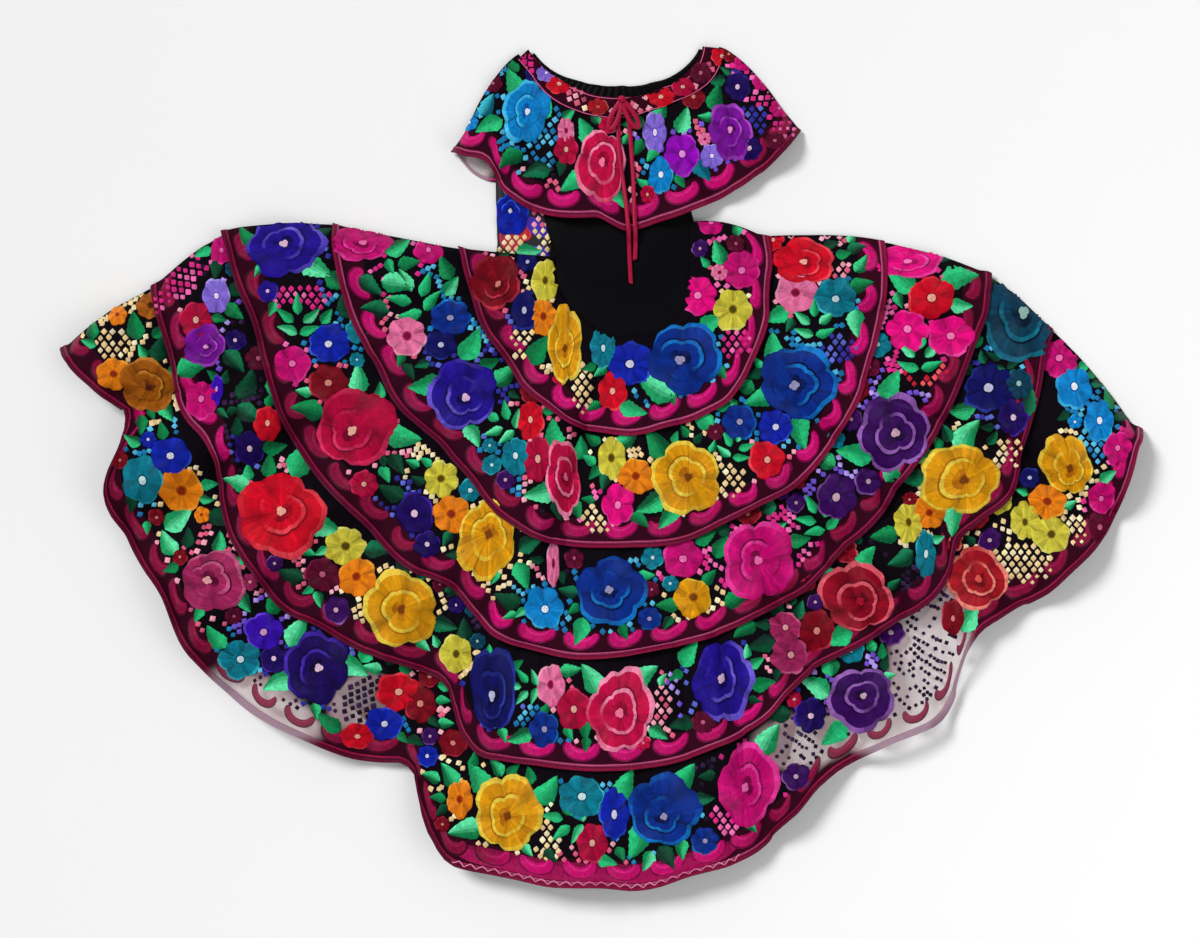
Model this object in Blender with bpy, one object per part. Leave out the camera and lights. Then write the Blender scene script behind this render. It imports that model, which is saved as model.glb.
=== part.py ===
"""Chiapaneca dress laid out flat, face up: an off-the-shoulder blouse with an embroidered collar
flounce, a black satin bodice and a skirt of five embroidered flounces, spread like a fan.

X runs to the wearer's left, Y towards the neck and Z up from the surface that the dress lies on.
The back half of every ring of cloth lies flat on that surface. The front half lies over it in folds.
Plan positions are polar: a bearing in degrees from -Y, positive towards +X, and a reach in metres.
"""

import math
from collections import namedtuple

import bmesh
import bpy
from mathutils import Vector

# Cloth
WALL = 0.0020
SEAM_GAP = 0.00035
LAYER = WALL + SEAM_GAP

# Skirt
WAIST_CENTRE = (0.0476, 0.3698)
FLOUNCE_LAP = 0.020
WAIST_LAP = 0.012
SKIRT_ROLL = 0.028
SKIRT_LOFT = 0.006
SKIRT_COLUMNS = 76
SKIRT_CROWDED = (0.395, 0.60)
CROWD_SPREAD = 0.022
CROWDING = 1.3

# Blouse
NECK_CENTRE = (0.0368, 0.7394)
BAND_LAP = 0.010
BACK_BAND_WIDTH = 0.040
BAND_CROWN = 0.0015
COLLAR_ROLL = 0.024
COLLAR_CLEARANCE = 0.0064
COLLAR_COLUMNS = 44
BODICE_BULGE = 0.006

# Where the skirt's front meets each seam and hem, by bearing
Plan = namedtuple("Plan", "bearing waist tier_1 tier_2 tier_3 tier_4 tier_5")
SKIRT_PLAN = [
    Plan(-96, 0.129, 0.310, 0.535, 0.740, 0.855, 1.030),
    Plan(-86, 0.130, 0.300, 0.520, 0.700, 0.855, 1.030),
    Plan(-80, 0.131, 0.292, 0.510, 0.685, 0.845, 1.030),
    Plan(-76, 0.131, 0.290, 0.505, 0.680, 0.840, 0.975),
    Plan(-72, 0.132, 0.290, 0.500, 0.680, 0.850, 0.925),
    Plan(-66, 0.132, 0.290, 0.490, 0.690, 0.815, 1.035),
    Plan(-56, 0.132, 0.285, 0.490, 0.680, 0.865, 1.025),
    Plan(-46, 0.131, 0.290, 0.475, 0.670, 0.885, 1.065),
    Plan(-36, 0.129, 0.300, 0.485, 0.680, 0.850, 1.045),
    Plan(-28, 0.131, 0.305, 0.510, 0.665, 0.830, 1.015),
    Plan(-22.5, 0.136, 0.315, 0.520, 0.695, 0.820, 0.975),
    Plan(-18, 0.138, 0.320, 0.530, 0.725, 0.930, 1.125),
    Plan(-8, 0.136, 0.315, 0.520, 0.720, 0.915, 1.125),
    Plan(2, 0.134, 0.315, 0.515, 0.710, 0.910, 1.125),
    Plan(11, 0.137, 0.310, 0.515, 0.695, 0.885, 1.090),
    Plan(16, 0.139, 0.310, 0.510, 0.685, 0.865, 1.055),
    Plan(21, 0.139, 0.310, 0.505, 0.680, 0.820, 0.985),
    Plan(27, 0.138, 0.310, 0.505, 0.675, 0.800, 0.985),
    Plan(35, 0.138, 0.315, 0.510, 0.650, 0.810, 1.000),
    Plan(43, 0.136, 0.305, 0.500, 0.645, 0.820, 0.905),
    Plan(50, 0.130, 0.295, 0.495, 0.635, 0.770, 0.950),
    Plan(58, 0.121, 0.285, 0.485, 0.635, 0.810, 0.985),
    Plan(66, 0.114, 0.275, 0.475, 0.635, 0.780, 0.985),
    Plan(74, 0.112, 0.265, 0.470, 0.645, 0.770, 0.960),
    Plan(84, 0.110, 0.260, 0.465, 0.650, 0.770, 0.960),
    Plan(96, 0.109, 0.258, 0.460, 0.650, 0.770, 0.960),
    Plan(110, 0.115, 0.258, 0.460, 0.650, 0.770, 0.960),
    Plan(124, 0.132, 0.258, 0.460, 0.650, 0.770, 0.960),
]

# The skirt's two side folds, as the bearing that each has at a reach
Edge = namedtuple("Edge", "reach bearing")
SKIRT_LEFT = [
    Edge(0.130, -93.0), Edge(0.310, -94.0), Edge(0.535, -97.0), Edge(0.645, -97.5),
    Edge(0.740, -93.0), Edge(0.855, -86.5), Edge(0.977, -83.0), Edge(1.030, -80.3),
]
SKIRT_RIGHT = [
    Edge(0.130, 123.0), Edge(0.177, 112.0), Edge(0.207, 105.0), Edge(0.261, 99.0),
    Edge(0.416, 96.0), Edge(0.495, 92.5), Edge(0.638, 88.0), Edge(0.763, 81.0),
    Edge(0.871, 75.4), Edge(0.966, 71.0),
]

# Folds: feet and top edges by bearing, height, and the reaches where each starts, is full and ends
Fold = namedtuple("Fold", "left_foot left_top right_top right_foot height starts full ends")
SKIRT_FOLDS = [
    Fold(-89, -81.5, -78, -73, 0.034, 0.66, 0.94, 2.0),
    Fold(-74, -69.5, -66.5, -61, 0.040, 0.50, 0.80, 2.0),
    Fold(-61, -54, -50, -42, 0.032, 0.42, 0.75, 2.0),
    Fold(-43, -37, -33, -27, 0.033, 0.36, 0.72, 2.0),
    Fold(-34, -24, -19, -14.5, 0.024, 0.13, 0.34, 0.78),
    Fold(-22.5, -18.5, 10.5, 14.5, 0.038, 0.46, 0.84, 2.0),
    Fold(-13, -8, -5, 1, 0.012, 0.40, 0.80, 2.0),
    Fold(-9, -2, 8, 20, 0.015, 0.14, 0.34, 0.66),
    Fold(12.5, 17, 20, 24.5, 0.026, 0.42, 0.76, 2.0),
    Fold(24, 28.5, 32, 37.5, 0.032, 0.28, 0.66, 2.0),
    Fold(37, 42, 45, 49.5, 0.028, 0.30, 0.62, 2.0),
    Fold(49, 54, 57.5, 63, 0.032, 0.24, 0.62, 2.0),
    Fold(62, 66.5, 69, 78, 0.036, 0.36, 0.74, 2.0),
    Fold(78, 83, 86, 93, 0.022, 0.22, 0.46, 0.76),
    Fold(-98, -92, -87, -77, 0.024, 0.20, 0.50, 0.80),
    Fold(-74, -64, -58, -46, 0.016, 0.16, 0.34, 0.52),
]

# Flounces: rise between the seams, lift of the hem, and the waves along the hem
Tier = namedtuple("Tier", "name puff flare waves wave_height ripple colour")
TIERS = [
    Tier("skirt_tier_1", 0.0060, 0.003, 6, 0.009, 0.005, (0.10, 0.03, 0.16)),
    Tier("skirt_tier_2", 0.0070, 0.003, 8, 0.010, 0.005, (0.45, 0.04, 0.16)),
    Tier("skirt_tier_3", 0.0080, 0.004, 11, 0.011, 0.006, (0.07, 0.05, 0.20)),
    Tier("skirt_tier_4", 0.0080, 0.004, 13, 0.012, 0.006, (0.50, 0.06, 0.12)),
    Tier("skirt_tier_5", 0.0080, 0.005, 15, 0.014, 0.008, (0.12, 0.04, 0.14)),
]

# The back skirt is drawn up where the front's last flounce lies alone
BackShare = namedtuple("BackShare", "bearing share")
BACK_SHARES = [
    BackShare(-96, 0.975), BackShare(-56, 0.970), BackShare(-46, 0.880), BackShare(-36, 0.900),
    BackShare(-26, 0.970), BackShare(10, 0.975), BackShare(18, 0.930), BackShare(28, 0.800),
    BackShare(44, 0.800), BackShare(54, 0.930), BackShare(96, 0.975),
]
BACK_COLUMNS = 22
BACK_WAIST_ENDS = (-90.0, 117.0)
BACK_INSET = 0.014
BACK_STEP = 0.008
BACK_SETTLE = 0.030

# Cloth of the first back flounce that stands up beside the waist on the left
Corner = namedtuple("Corner", "bearing inner outer")
WAIST_CORNER = [
    Corner(-130, 0.192, 0.292), Corner(-124, 0.178, 0.285), Corner(-118, 0.166, 0.268),
    Corner(-111, 0.157, 0.252), Corner(-104, 0.151, 0.242), Corner(-98, 0.148, 0.236),
    Corner(-94, 0.147, 0.236),
]
CORNER_SETTLE = (-106, -97)

# Neckband: reach of its front edges and of the back's upper edge
Band = namedtuple("Band", "bearing upper lower back_upper")
NECKBAND = [
    Band(-95, 0.174, 0.207, 0.166), Band(-80, 0.141, 0.170, 0.134), Band(-60, 0.107, 0.152, 0.091),
    Band(-40, 0.089, 0.132, 0.070), Band(-20, 0.080, 0.120, 0.060), Band(0, 0.077, 0.115, 0.055),
    Band(26, 0.082, 0.113, 0.062), Band(48, 0.093, 0.127, 0.073), Band(65, 0.109, 0.154, 0.095),
    Band(75, 0.121, 0.171, 0.109), Band(87, 0.138, 0.181, 0.128), Band(96, 0.147, 0.186, 0.142),
]
BAND_ENDS = (-93.0, 95.5)
BAND_LOWER_ENDS = (-87.0, 93.0)
BACK_BAND_ENDS = (-91.0, 94.0)
BACK_BAND_LOWER_ENDS = (-84.5, 91.5)
BAND_SHOULDER = (45.0, 65.0)
BAND_COLUMNS = 36

# Collar flounce: hems by bearing, and the two shoulder folds
Hem = namedtuple("Hem", "bearing front back")
COLLAR_HEM = [
    Hem(-60, 0.354, 0.346), Hem(-58, 0.350, 0.346), Hem(-55, 0.322, 0.345), Hem(-51, 0.308, 0.343),
    Hem(-46, 0.314, 0.330), Hem(-42, 0.325, 0.306), Hem(-34, 0.326, 0.300), Hem(-25, 0.320, 0.295),
    Hem(-8, 0.295, 0.275), Hem(1, 0.320, 0.280), Hem(12, 0.309, 0.285), Hem(24, 0.308, 0.290),
    Hem(40, 0.318, 0.300), Hem(53, 0.332, 0.315), Hem(66, 0.348, 0.335),
]
COLLAR_LEFT = [
    Edge(0.160, -94.0), Edge(0.186, -91.0), Edge(0.220, -82.0), Edge(0.263, -72.0),
    Edge(0.307, -63.4), Edge(0.355, -58.8),
]
COLLAR_RIGHT = [
    Edge(0.160, 96.0), Edge(0.184, 94.0), Edge(0.211, 88.5), Edge(0.240, 81.4),
    Edge(0.274, 74.9), Edge(0.310, 69.8), Edge(0.348, 65.8),
]
COLLAR_FOLDS = [
    Fold(-66, -57, -50, -44, 0.020, 0.20, 0.30, 2.0),
    Fold(-43, -37, -34, -29, 0.012, 0.17, 0.28, 2.0),
    Fold(-29, -20, -6, 5, 0.017, 0.14, 0.27, 2.0),
    Fold(9, 16, 26, 34, 0.015, 0.14, 0.27, 2.0),
    Fold(33, 39, 43, 49, 0.010, 0.17, 0.28, 2.0),
    Fold(49, 56, 62, 72, 0.020, 0.20, 0.30, 2.0),
]
COLLAR_FLARE = 0.003
COLLAR_WAVES = 9
COLLAR_WAVE_HEIGHT = 0.007
COLLAR_BACK_COLUMNS = 18

# Bodice: bearings of its corners about the neck and about the waist, and how far the front's
# right side bows out over the cloth below it, by shares of the way down
BODICE_TOP = (-42.0, 42.0)
BODICE_BOTTOM = (-93.0, 116.0)
BODICE_SIDE_BOW = 0.024
BODICE_BOW_FULL = 0.60
BODICE_BOW_ENDS = 0.88
BODICE_BOW_FADE = 0.20
BODICE_COLUMNS = 12
BODICE_ROWS = (0.0, 0.2, 0.4, 0.6, 0.75, 0.88, 1.0)
BODICE_BULGE_STARTS = 0.18
BODICE_BULGE_GROWTH = 0.12
BODICE_BULGE_ENDS = 0.88

# Ribbon drawstring: its knot and loops, and the routes of its two free ends
KNOT_CENTRE = (0.0366, 0.6565, 0.0227)
KNOT_RADII = (0.0085, 0.0075, 0.0093)
LOOP_START = 0.0248
LOOP_LENGTH = 0.056
LOOP_WIDTH = 0.018
LOOP_DROP = 0.0010
LOOP_DROP_STARTS = 0.66
LOOP_STEPS = 16
LOOP_SIDES = 8
LOOP_SECTION = (0.0036, 0.0022)
BOW_BEARINGS = (-23.0, 30.0)
RIBBON_RADIUS = 0.004
RIBBON_STEP = 0.016
Stop = namedtuple("Stop", "x y z")
SHORT_END = [
    Stop(0.0430, 0.6503, 0.0181), Stop(0.0470, 0.6390, 0.0174), Stop(0.0491, 0.6225, 0.0166),
    Stop(0.0510, 0.6010, 0.0160), Stop(0.0528, 0.5780, 0.0182), Stop(0.0545, 0.5510, 0.0205),
    Stop(0.0563, 0.5243, 0.0223), Stop(0.0574, 0.4975, 0.0240), Stop(0.0585, 0.4707, 0.0262),
    Stop(0.0595, 0.4440, 0.0294), Stop(0.0602, 0.4300, 0.0314), Stop(0.0606, 0.4190, 0.0304),
    Stop(0.0609, 0.4100, 0.0250), Stop(0.0610, 0.4000, 0.0190), Stop(0.0608, 0.3870, 0.0174),
    Stop(0.0600, 0.3707, 0.0168),
]
LONG_END = [
    Stop(0.0304, 0.6496, 0.0181), Stop(0.0312, 0.6390, 0.0174), Stop(0.0308, 0.6225, 0.0166),
    Stop(0.0304, 0.6010, 0.0171), Stop(0.0313, 0.5780, 0.0202), Stop(0.0331, 0.5510, 0.0236),
    Stop(0.0367, 0.5243, 0.0255), Stop(0.0403, 0.4975, 0.0275), Stop(0.0438, 0.4707, 0.0297),
    Stop(0.0464, 0.4440, 0.0320), Stop(0.0480, 0.4300, 0.0333), Stop(0.0487, 0.4185, 0.0321),
    Stop(0.0492, 0.4090, 0.0262), Stop(0.0495, 0.3990, 0.0194), Stop(0.0500, 0.3860, 0.0174),
    Stop(0.0506, 0.3700, 0.0168), Stop(0.0516, 0.3500, 0.0155), Stop(0.0527, 0.3282, 0.0142),
]

COLOURS = {
    "neckband": (0.30, 0.03, 0.05),
    "collar": (0.35, 0.05, 0.25),
    "bodice": (0.008, 0.008, 0.010),
    "ribbon": (0.45, 0.01, 0.04),
}


def clear_scene():
    """Remove every object."""
    for item in list(bpy.data.objects):
        bpy.data.objects.remove(item, do_unlink=True)


def mix(a, b, share):
    """Go from a to b by a share."""
    return a + (b - a) * share


def ease(value):
    """Smooth step from 0 to 1."""
    value = min(max(value, 0.0), 1.0)
    return value * value * (3.0 - 2.0 * value)


def layer(count):
    """Mid height of a wall that lies on a number of others."""
    return WALL / 2 + count * LAYER


def read(rows, key, name, at):
    """Read a column of a table, straight between its rows."""
    if at <= getattr(rows[0], key):
        return getattr(rows[0], name)
    for low, high in zip(rows, rows[1:]):
        end = getattr(high, key)
        if at <= end:
            start = getattr(low, key)
            share = (at - start) / (end - start)
            return mix(getattr(low, name), getattr(high, name), share)
    return getattr(rows[-1], name)


def read_soft(rows, key, name, at, spread):
    """Read a column with its corners rounded over a spread."""
    steps = (-1.0, -0.5, 0.0, 0.5, 1.0)
    return sum(read(rows, key, name, at + step * spread) for step in steps) / len(steps)


def polar(centre, bearing, reach, height=0.0):
    """Point at a bearing and reach from a centre."""
    angle = math.radians(bearing)
    x = centre[0] + reach * math.sin(angle)
    y = centre[1] - reach * math.cos(angle)
    return Vector((x, y, height))


def fold_rise(fold, bearing, reach):
    """Height of one fold at a place."""
    left = ease((bearing - fold.left_foot) / (fold.left_top - fold.left_foot))
    right = ease((fold.right_foot - bearing) / (fold.right_foot - fold.right_top))
    grown = ease((reach - fold.starts) / (fold.full - fold.starts))
    fade_length = fold.full - fold.starts
    left_over = 1.0 - ease((reach - fold.ends + fade_length) / fade_length)
    return fold.height * left * right * grown * left_over


def side_distance(bearing, reach, left, right):
    """Distance along the cloth to the nearer side fold."""
    low = read_soft(left, "reach", "bearing", reach, 0.02)
    high = read_soft(right, "reach", "bearing", reach, 0.02)
    degrees = min(bearing - low, high - bearing)
    return max(0.0, reach * math.radians(degrees))


def rolled(full, edge, distance, roll):
    """Height of cloth that curves down to an edge height at its side."""
    share = min(distance / roll, 1.0)
    return edge + (full - edge) * math.sin(share * math.pi / 2)


def skirt_point(bearing, reach):
    """Point of the folded front of the skirt, without its flounces' own waves."""
    rest = mix(layer(3), layer(2), ease((reach - 0.15) / 0.16))
    loft = SKIRT_LOFT * ease((reach - 0.16) / 0.3)
    full = rest + loft + sum(fold_rise(fold, bearing, reach) for fold in SKIRT_FOLDS)
    edge = mix(full, layer(0) + SEAM_GAP, ease((reach - 0.25) / 0.10))
    distance = side_distance(bearing, reach, SKIRT_LEFT, SKIRT_RIGHT)
    return polar(WAIST_CENTRE, bearing, reach, rolled(full, edge, distance, SKIRT_ROLL))


def collar_point(bearing, reach):
    """Point of the folded front of the collar flounce, without its hem's waves."""
    shoulder = ease((abs(bearing) - 45) / 20)
    rest = mix(layer(3), layer(2), shoulder)
    rest += COLLAR_CLEARANCE * ease((reach - band_reach("lower", bearing) - 0.008) / 0.10)
    full = rest + sum(fold_rise(fold, bearing, reach) for fold in COLLAR_FOLDS)
    edge = mix(full, layer(1) + SEAM_GAP, ease((reach - 0.215) / 0.05))
    distance = side_distance(bearing, reach, COLLAR_LEFT, COLLAR_RIGHT)
    return polar(NECK_CENTRE, bearing, reach, rolled(full, edge, distance, COLLAR_ROLL))


def surface_normal(point_at, bearing, reach):
    """Upward normal of a surface given by bearing and reach."""
    turn, step = 0.35, 0.006
    across = point_at(bearing + turn, reach) - point_at(bearing - turn, reach)
    along = point_at(bearing, reach + step) - point_at(bearing, reach - step)
    return along.cross(across).normalized()


def shares(columns, first, second, crowded=()):
    """Shares from 0 to 1, closer at crowded places, with two narrow columns at each side."""
    steps = 600
    totals = [0.0]
    for step in range(steps):
        near = sum(math.exp(-(((step + 0.5) / steps - at) / CROWD_SPREAD) ** 2) for at in crowded)
        totals.append(totals[-1] + 1.0 + CROWDING * near)
    inner, step = [], 0
    for k in range(columns + 1):
        wanted = totals[-1] * k / columns
        while step < steps - 1 and totals[step + 1] < wanted:
            step += 1
        part_step = (wanted - totals[step]) / (totals[step + 1] - totals[step])
        inner.append(mix(second, 1.0 - second, (step + part_step) / steps))
    return [0.0, first] + inner + [1.0 - first, 1.0]


def place(share, reach_at, left, right):
    """Bearing and reach of a column where it crosses a line round the fan."""
    bearing = mix(left[0].bearing, right[0].bearing, share)
    reach = reach_at(bearing)
    for _ in range(8):
        low = read_soft(left, "reach", "bearing", reach, 0.02)
        high = read_soft(right, "reach", "bearing", reach, 0.02)
        bearing = mix(low, high, share)
        reach = reach_at(bearing)
    return bearing, reach


def wave(share, count, shift):
    """Uneven ruffle wave from 0 to 1 along a hem."""
    turn = 2 * math.pi
    phase = count * share + 0.20 * math.sin(turn * (3 * share + 0.3 * shift))
    size = 0.72 + 0.28 * math.sin(turn * (2.3 * share + 0.37 * shift))
    return size * (0.5 - 0.5 * math.cos(turn * phase + shift))


def add_material(name, colour, roughness):
    """Plain material of one cloth."""
    material = bpy.data.materials.new(name)
    material.use_nodes = True
    surface = material.node_tree.nodes["Principled BSDF"]
    surface.inputs["Base Color"].default_value = (*colour, 1.0)
    surface.inputs["Roughness"].default_value = roughness
    surface.inputs["Metallic"].default_value = 0.0
    return material


def add_object(name, mesh, colour, roughness=0.8):
    """Put a mesh or curve in the scene under its node's name."""
    item = bpy.data.objects.new(name, mesh)
    mesh.materials.append(add_material(name, colour, roughness))
    bpy.context.scene.collection.objects.link(item)
    return item


def add_wall(name, mids, normals, colour, roughness=0.8):
    """Closed wall of one thickness round a grid of mid points."""
    bm = bmesh.new()
    rows, columns = len(mids), len(mids[0])
    sides = []
    for half in (WALL / 2, -WALL / 2):
        side = [
            [bm.verts.new(point + normal * half) for point, normal in zip(mid_row, normal_row)]
            for mid_row, normal_row in zip(mids, normals)
        ]
        sides.append(side)
    for j in range(rows - 1):
        for k in range(columns - 1):
            for side, turned in ((sides[0], False), (sides[1], True)):
                a, b, c, d = side[j][k], side[j + 1][k], side[j + 1][k + 1], side[j][k + 1]
                for corners in ((a, b, c), (a, c, d)):
                    bm.faces.new(corners[::-1] if turned else corners)
    top, under = sides
    rim = [(0, k) for k in range(columns)]
    rim += [(j, columns - 1) for j in range(1, rows)]
    rim += [(rows - 1, k) for k in range(columns - 2, -1, -1)]
    rim += [(j, 0) for j in range(rows - 2, 0, -1)]
    for (j, k), (m, n) in zip(rim, rim[1:] + rim[:1]):
        bm.faces.new((top[j][k], top[m][n], under[m][n], under[j][k]))
    bmesh.ops.recalc_face_normals(bm, faces=bm.faces)
    mesh = bpy.data.meshes.new(name)
    bm.to_mesh(mesh)
    bm.free()
    mesh.shade_smooth()
    mesh.set_sharp_from_angle(angle=math.radians(50))
    return add_object(name, mesh, colour, roughness)


def add_flat_wall(name, mids, colour, roughness=0.8):
    """Closed wall whose thickness is upright."""
    normals = [[Vector((0, 0, 1))] * len(row) for row in mids]
    return add_wall(name, mids, normals, colour, roughness)


def hem_reach(number, bearing):
    """Reach of a front flounce's hem, 0 being the waist seam, without ripples."""
    name = "waist" if number == 0 else f"tier_{number}"
    return read_soft(SKIRT_PLAN, "bearing", name, bearing, 2.0)


def skirt_line(number, share, before_hem=0.0):
    """Bearing and reach of a column on a front flounce's hem, or short of it."""
    def reach_at(bearing):
        reach = hem_reach(number, bearing) - before_hem
        if number > 0:
            tier = TIERS[number - 1]
            reach -= tier.ripple * wave(share, tier.waves, number)
        return reach
    return place(share, reach_at, SKIRT_LEFT, SKIRT_RIGHT)


def add_front_tier(number):
    """One flounce of the skirt's front, sewn under the one above and folded with it."""
    tier = TIERS[number - 1]
    mids, normals = [], []
    columns = shares(SKIRT_COLUMNS, 0.005, 0.014, SKIRT_CROWDED)
    if number == 1:
        lines = [(0, 0.0), (0, -FLOUNCE_LAP)]
    else:
        lines = [(number - 1, FLOUNCE_LAP), (number - 1, 0.0)]
    lines += [None, (number, FLOUNCE_LAP), (number, 0.0)]
    for row, line in enumerate(lines):
        mid_row, normal_row = [], []
        for share in columns:
            swell = wave(share, tier.waves, number)
            if line is None:
                above = skirt_line(*lines[1][:1], share, lines[1][1])
                below = skirt_line(number, share, FLOUNCE_LAP)
                bearing, reach = mix(above[0], below[0], 0.5), mix(above[1], below[1], 0.5)
            else:
                bearing, reach = skirt_line(line[0], share, line[1])
            outward = surface_normal(skirt_point, bearing, reach)
            lift = (
                0.0,
                0.0,
                tier.puff * mix(0.6, 1.0, swell),
                LAYER,
                LAYER + tier.flare + tier.wave_height * swell,
            )[row]
            mid_row.append(skirt_point(bearing, reach) + outward * lift)
            normal_row.append(outward)
        mids.append(mid_row)
        normals.append(normal_row)
    add_wall(f"{tier.name}_front", mids, normals, tier.colour)


def back_line(number, share):
    """Bearing and reach of a column on a back flounce's hem."""
    def reach_at(bearing):
        spread = read(BACK_SHARES, "bearing", "share", bearing)
        return hem_reach(number, bearing) * spread - BACK_INSET
    bearing, reach = place(share, reach_at, SKIRT_LEFT, SKIRT_RIGHT)
    inset = math.degrees(BACK_INSET / reach)
    return bearing + inset * (1.0 - 2.0 * share), reach


def add_back_tier(number):
    """One flounce of the skirt's back, flat, with the next one's top edge lying on its hem."""
    tier = TIERS[number - 1]
    upright = []
    for k in range(BACK_COLUMNS + 1):
        share = k / BACK_COLUMNS
        hem_bearing, hem = back_line(number, share)
        if number == 1:
            top_bearing = mix(*BACK_WAIST_ENDS, share)
            top = hem_reach(0, top_bearing) - WAIST_LAP
            stations = [(top_bearing, top, 0), (hem_bearing, hem, 0)]
        else:
            top_bearing, top = back_line(number - 1, share)
            stations = [
                (top_bearing, top - FLOUNCE_LAP, 1),
                (top_bearing, top + BACK_STEP, 1),
                (mix(top_bearing, hem_bearing, 0.2), top + BACK_SETTLE, 0),
                (hem_bearing, hem, 0),
            ]
        upright.append([polar(WAIST_CENTRE, b, r, layer(up)) for b, r, up in stations])
    if number == 1:
        corner = []
        for row in WAIST_CORNER:
            settled = ease((row.bearing - CORNER_SETTLE[0]) / (CORNER_SETTLE[1] - CORNER_SETTLE[0]))
            height = mix(layer(1), layer(0), settled)
            corner.append([
                polar(WAIST_CENTRE, row.bearing, row.inner, height),
                polar(WAIST_CENTRE, row.bearing, row.outer, height),
            ])
        upright = corner + upright
    mids = [list(row) for row in zip(*upright)]
    add_flat_wall(f"{tier.name}_back", mids, tier.colour)


def band_reach(edge, bearing):
    """Reach of an edge of the neckband."""
    return read_soft(NECKBAND, "bearing", edge, bearing, 5.0)


def band_height(bearing):
    """Mid height of the front band, lower where it passes over the shoulders."""
    start, end = BAND_SHOULDER
    return mix(layer(4), layer(3), ease((abs(bearing) - start) / (end - start)))


def add_neckband():
    """Front band over the flounce's top edge, and back band under it all."""
    front, back = [], []
    for k in range(BAND_COLUMNS + 1):
        share = k / BAND_COLUMNS
        high, low = mix(*BAND_ENDS, share), mix(*BAND_LOWER_ENDS, share)
        upper = polar(NECK_CENTRE, high, band_reach("upper", high), band_height(high))
        lower = polar(NECK_CENTRE, low, band_reach("lower", low), band_height(low))
        crown = upper.lerp(lower, 0.5) + Vector((0, 0, BAND_CROWN))
        front.append([upper, crown, lower])
        high, low = mix(*BACK_BAND_ENDS, share), mix(*BACK_BAND_LOWER_ENDS, share)
        inner = band_reach("back_upper", high)
        outer = band_reach("back_upper", low) + BACK_BAND_WIDTH
        back.append([
            polar(NECK_CENTRE, high, inner, layer(1)),
            polar(NECK_CENTRE, low, outer, layer(1)),
        ])
    add_flat_wall("neckband_front", [list(row) for row in zip(*front)], COLOURS["neckband"])
    add_flat_wall("neckband_back", [list(row) for row in zip(*back)], COLOURS["bodice"])


def add_collar_front():
    """Front of the collar flounce, from under the neckband to its waved hem."""
    mids, normals = [], []
    lines = [
        (lambda b: band_reach("lower", b) - BAND_LAP, 0.0),
        (lambda b: band_reach("lower", b) + 0.001, 0.0),
        (lambda b: mix(band_reach("lower", b), collar_hem("front", b), 0.4), 0.2),
        (lambda b: mix(band_reach("lower", b), collar_hem("front", b), 0.75), 0.5),
        (lambda b: collar_hem("front", b), 1.0),
    ]
    for reach_at, grown in lines:
        mid_row, normal_row = [], []
        for share in shares(COLLAR_COLUMNS, 0.010, 0.030):
            bearing, reach = place(share, reach_at, COLLAR_LEFT, COLLAR_RIGHT)
            outward = surface_normal(collar_point, bearing, reach)
            swell = wave(share, COLLAR_WAVES, 0.5)
            lift = grown * (COLLAR_FLARE + COLLAR_WAVE_HEIGHT * swell)
            mid_row.append(collar_point(bearing, reach) + outward * lift)
            normal_row.append(outward)
        mids.append(mid_row)
        normals.append(normal_row)
    add_wall("collar_flounce_front", mids, normals, COLOURS["collar"])


def collar_hem(side, bearing):
    """Reach of the collar flounce's hem."""
    return read_soft(COLLAR_HEM, "bearing", side, bearing, 2.0)


def add_collar_back():
    """Back of the collar flounce, flat under everything."""
    lines = [
        lambda b: band_reach("back_upper", b) + BACK_BAND_WIDTH - BAND_LAP,
        lambda b: mix(band_reach("back_upper", b) + BACK_BAND_WIDTH, collar_hem("back", b), 0.5),
        lambda b: collar_hem("back", b),
    ]
    mids = []
    for reach_at in lines:
        row = []
        for k in range(COLLAR_BACK_COLUMNS + 1):
            share = mix(0.008, 0.992, k / COLLAR_BACK_COLUMNS)
            bearing, reach = place(share, reach_at, COLLAR_LEFT, COLLAR_RIGHT)
            row.append(polar(NECK_CENTRE, bearing, reach, layer(0)))
        mids.append(row)
    add_flat_wall("collar_flounce_back", mids, COLOURS["collar"])


def add_bodice(name, level, bulge, side_bow, top_reach):
    """Satin panel from the neckband's edge down to the curved waist seam."""
    mids = []
    for v in BODICE_ROWS:
        row = []
        for k in range(BODICE_COLUMNS + 1):
            u = k / BODICE_COLUMNS
            bearing = mix(*BODICE_TOP, u)
            top = polar(NECK_CENTRE, bearing, top_reach(bearing))
            bearing = mix(*BODICE_BOTTOM, u)
            bottom = polar(WAIST_CENTRE, bearing, hem_reach(0, bearing) + WAIST_LAP)
            point = top.lerp(bottom, v)
            bowed = ease(v / BODICE_BOW_FULL) * ease((BODICE_BOW_ENDS - v) / BODICE_BOW_FADE)
            point.x -= side_bow * bowed * (1 - u)
            from_neck = (point - Vector((*NECK_CENTRE, 0))).length
            swell = ease((from_neck - BODICE_BULGE_STARTS) / BODICE_BULGE_GROWTH)
            swell *= math.sin(math.pi * u) * ease((BODICE_BULGE_ENDS - v) / 0.3)
            point.z = layer(level) + bulge * swell
            row.append(point)
        mids.append(row)
    add_flat_wall(name, mids, COLOURS["bodice"], 0.35)


def add_bodices():
    """Front panel over the back panel."""
    add_bodice(
        "bodice_front", 2, BODICE_BULGE, BODICE_SIDE_BOW, lambda b: band_reach("lower", b) - 0.008
    )
    add_bodice(
        "bodice_back", 1, 0.0, 0.0,
        lambda b: band_reach("back_upper", b) + BACK_BAND_WIDTH + 0.0008,
    )


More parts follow.
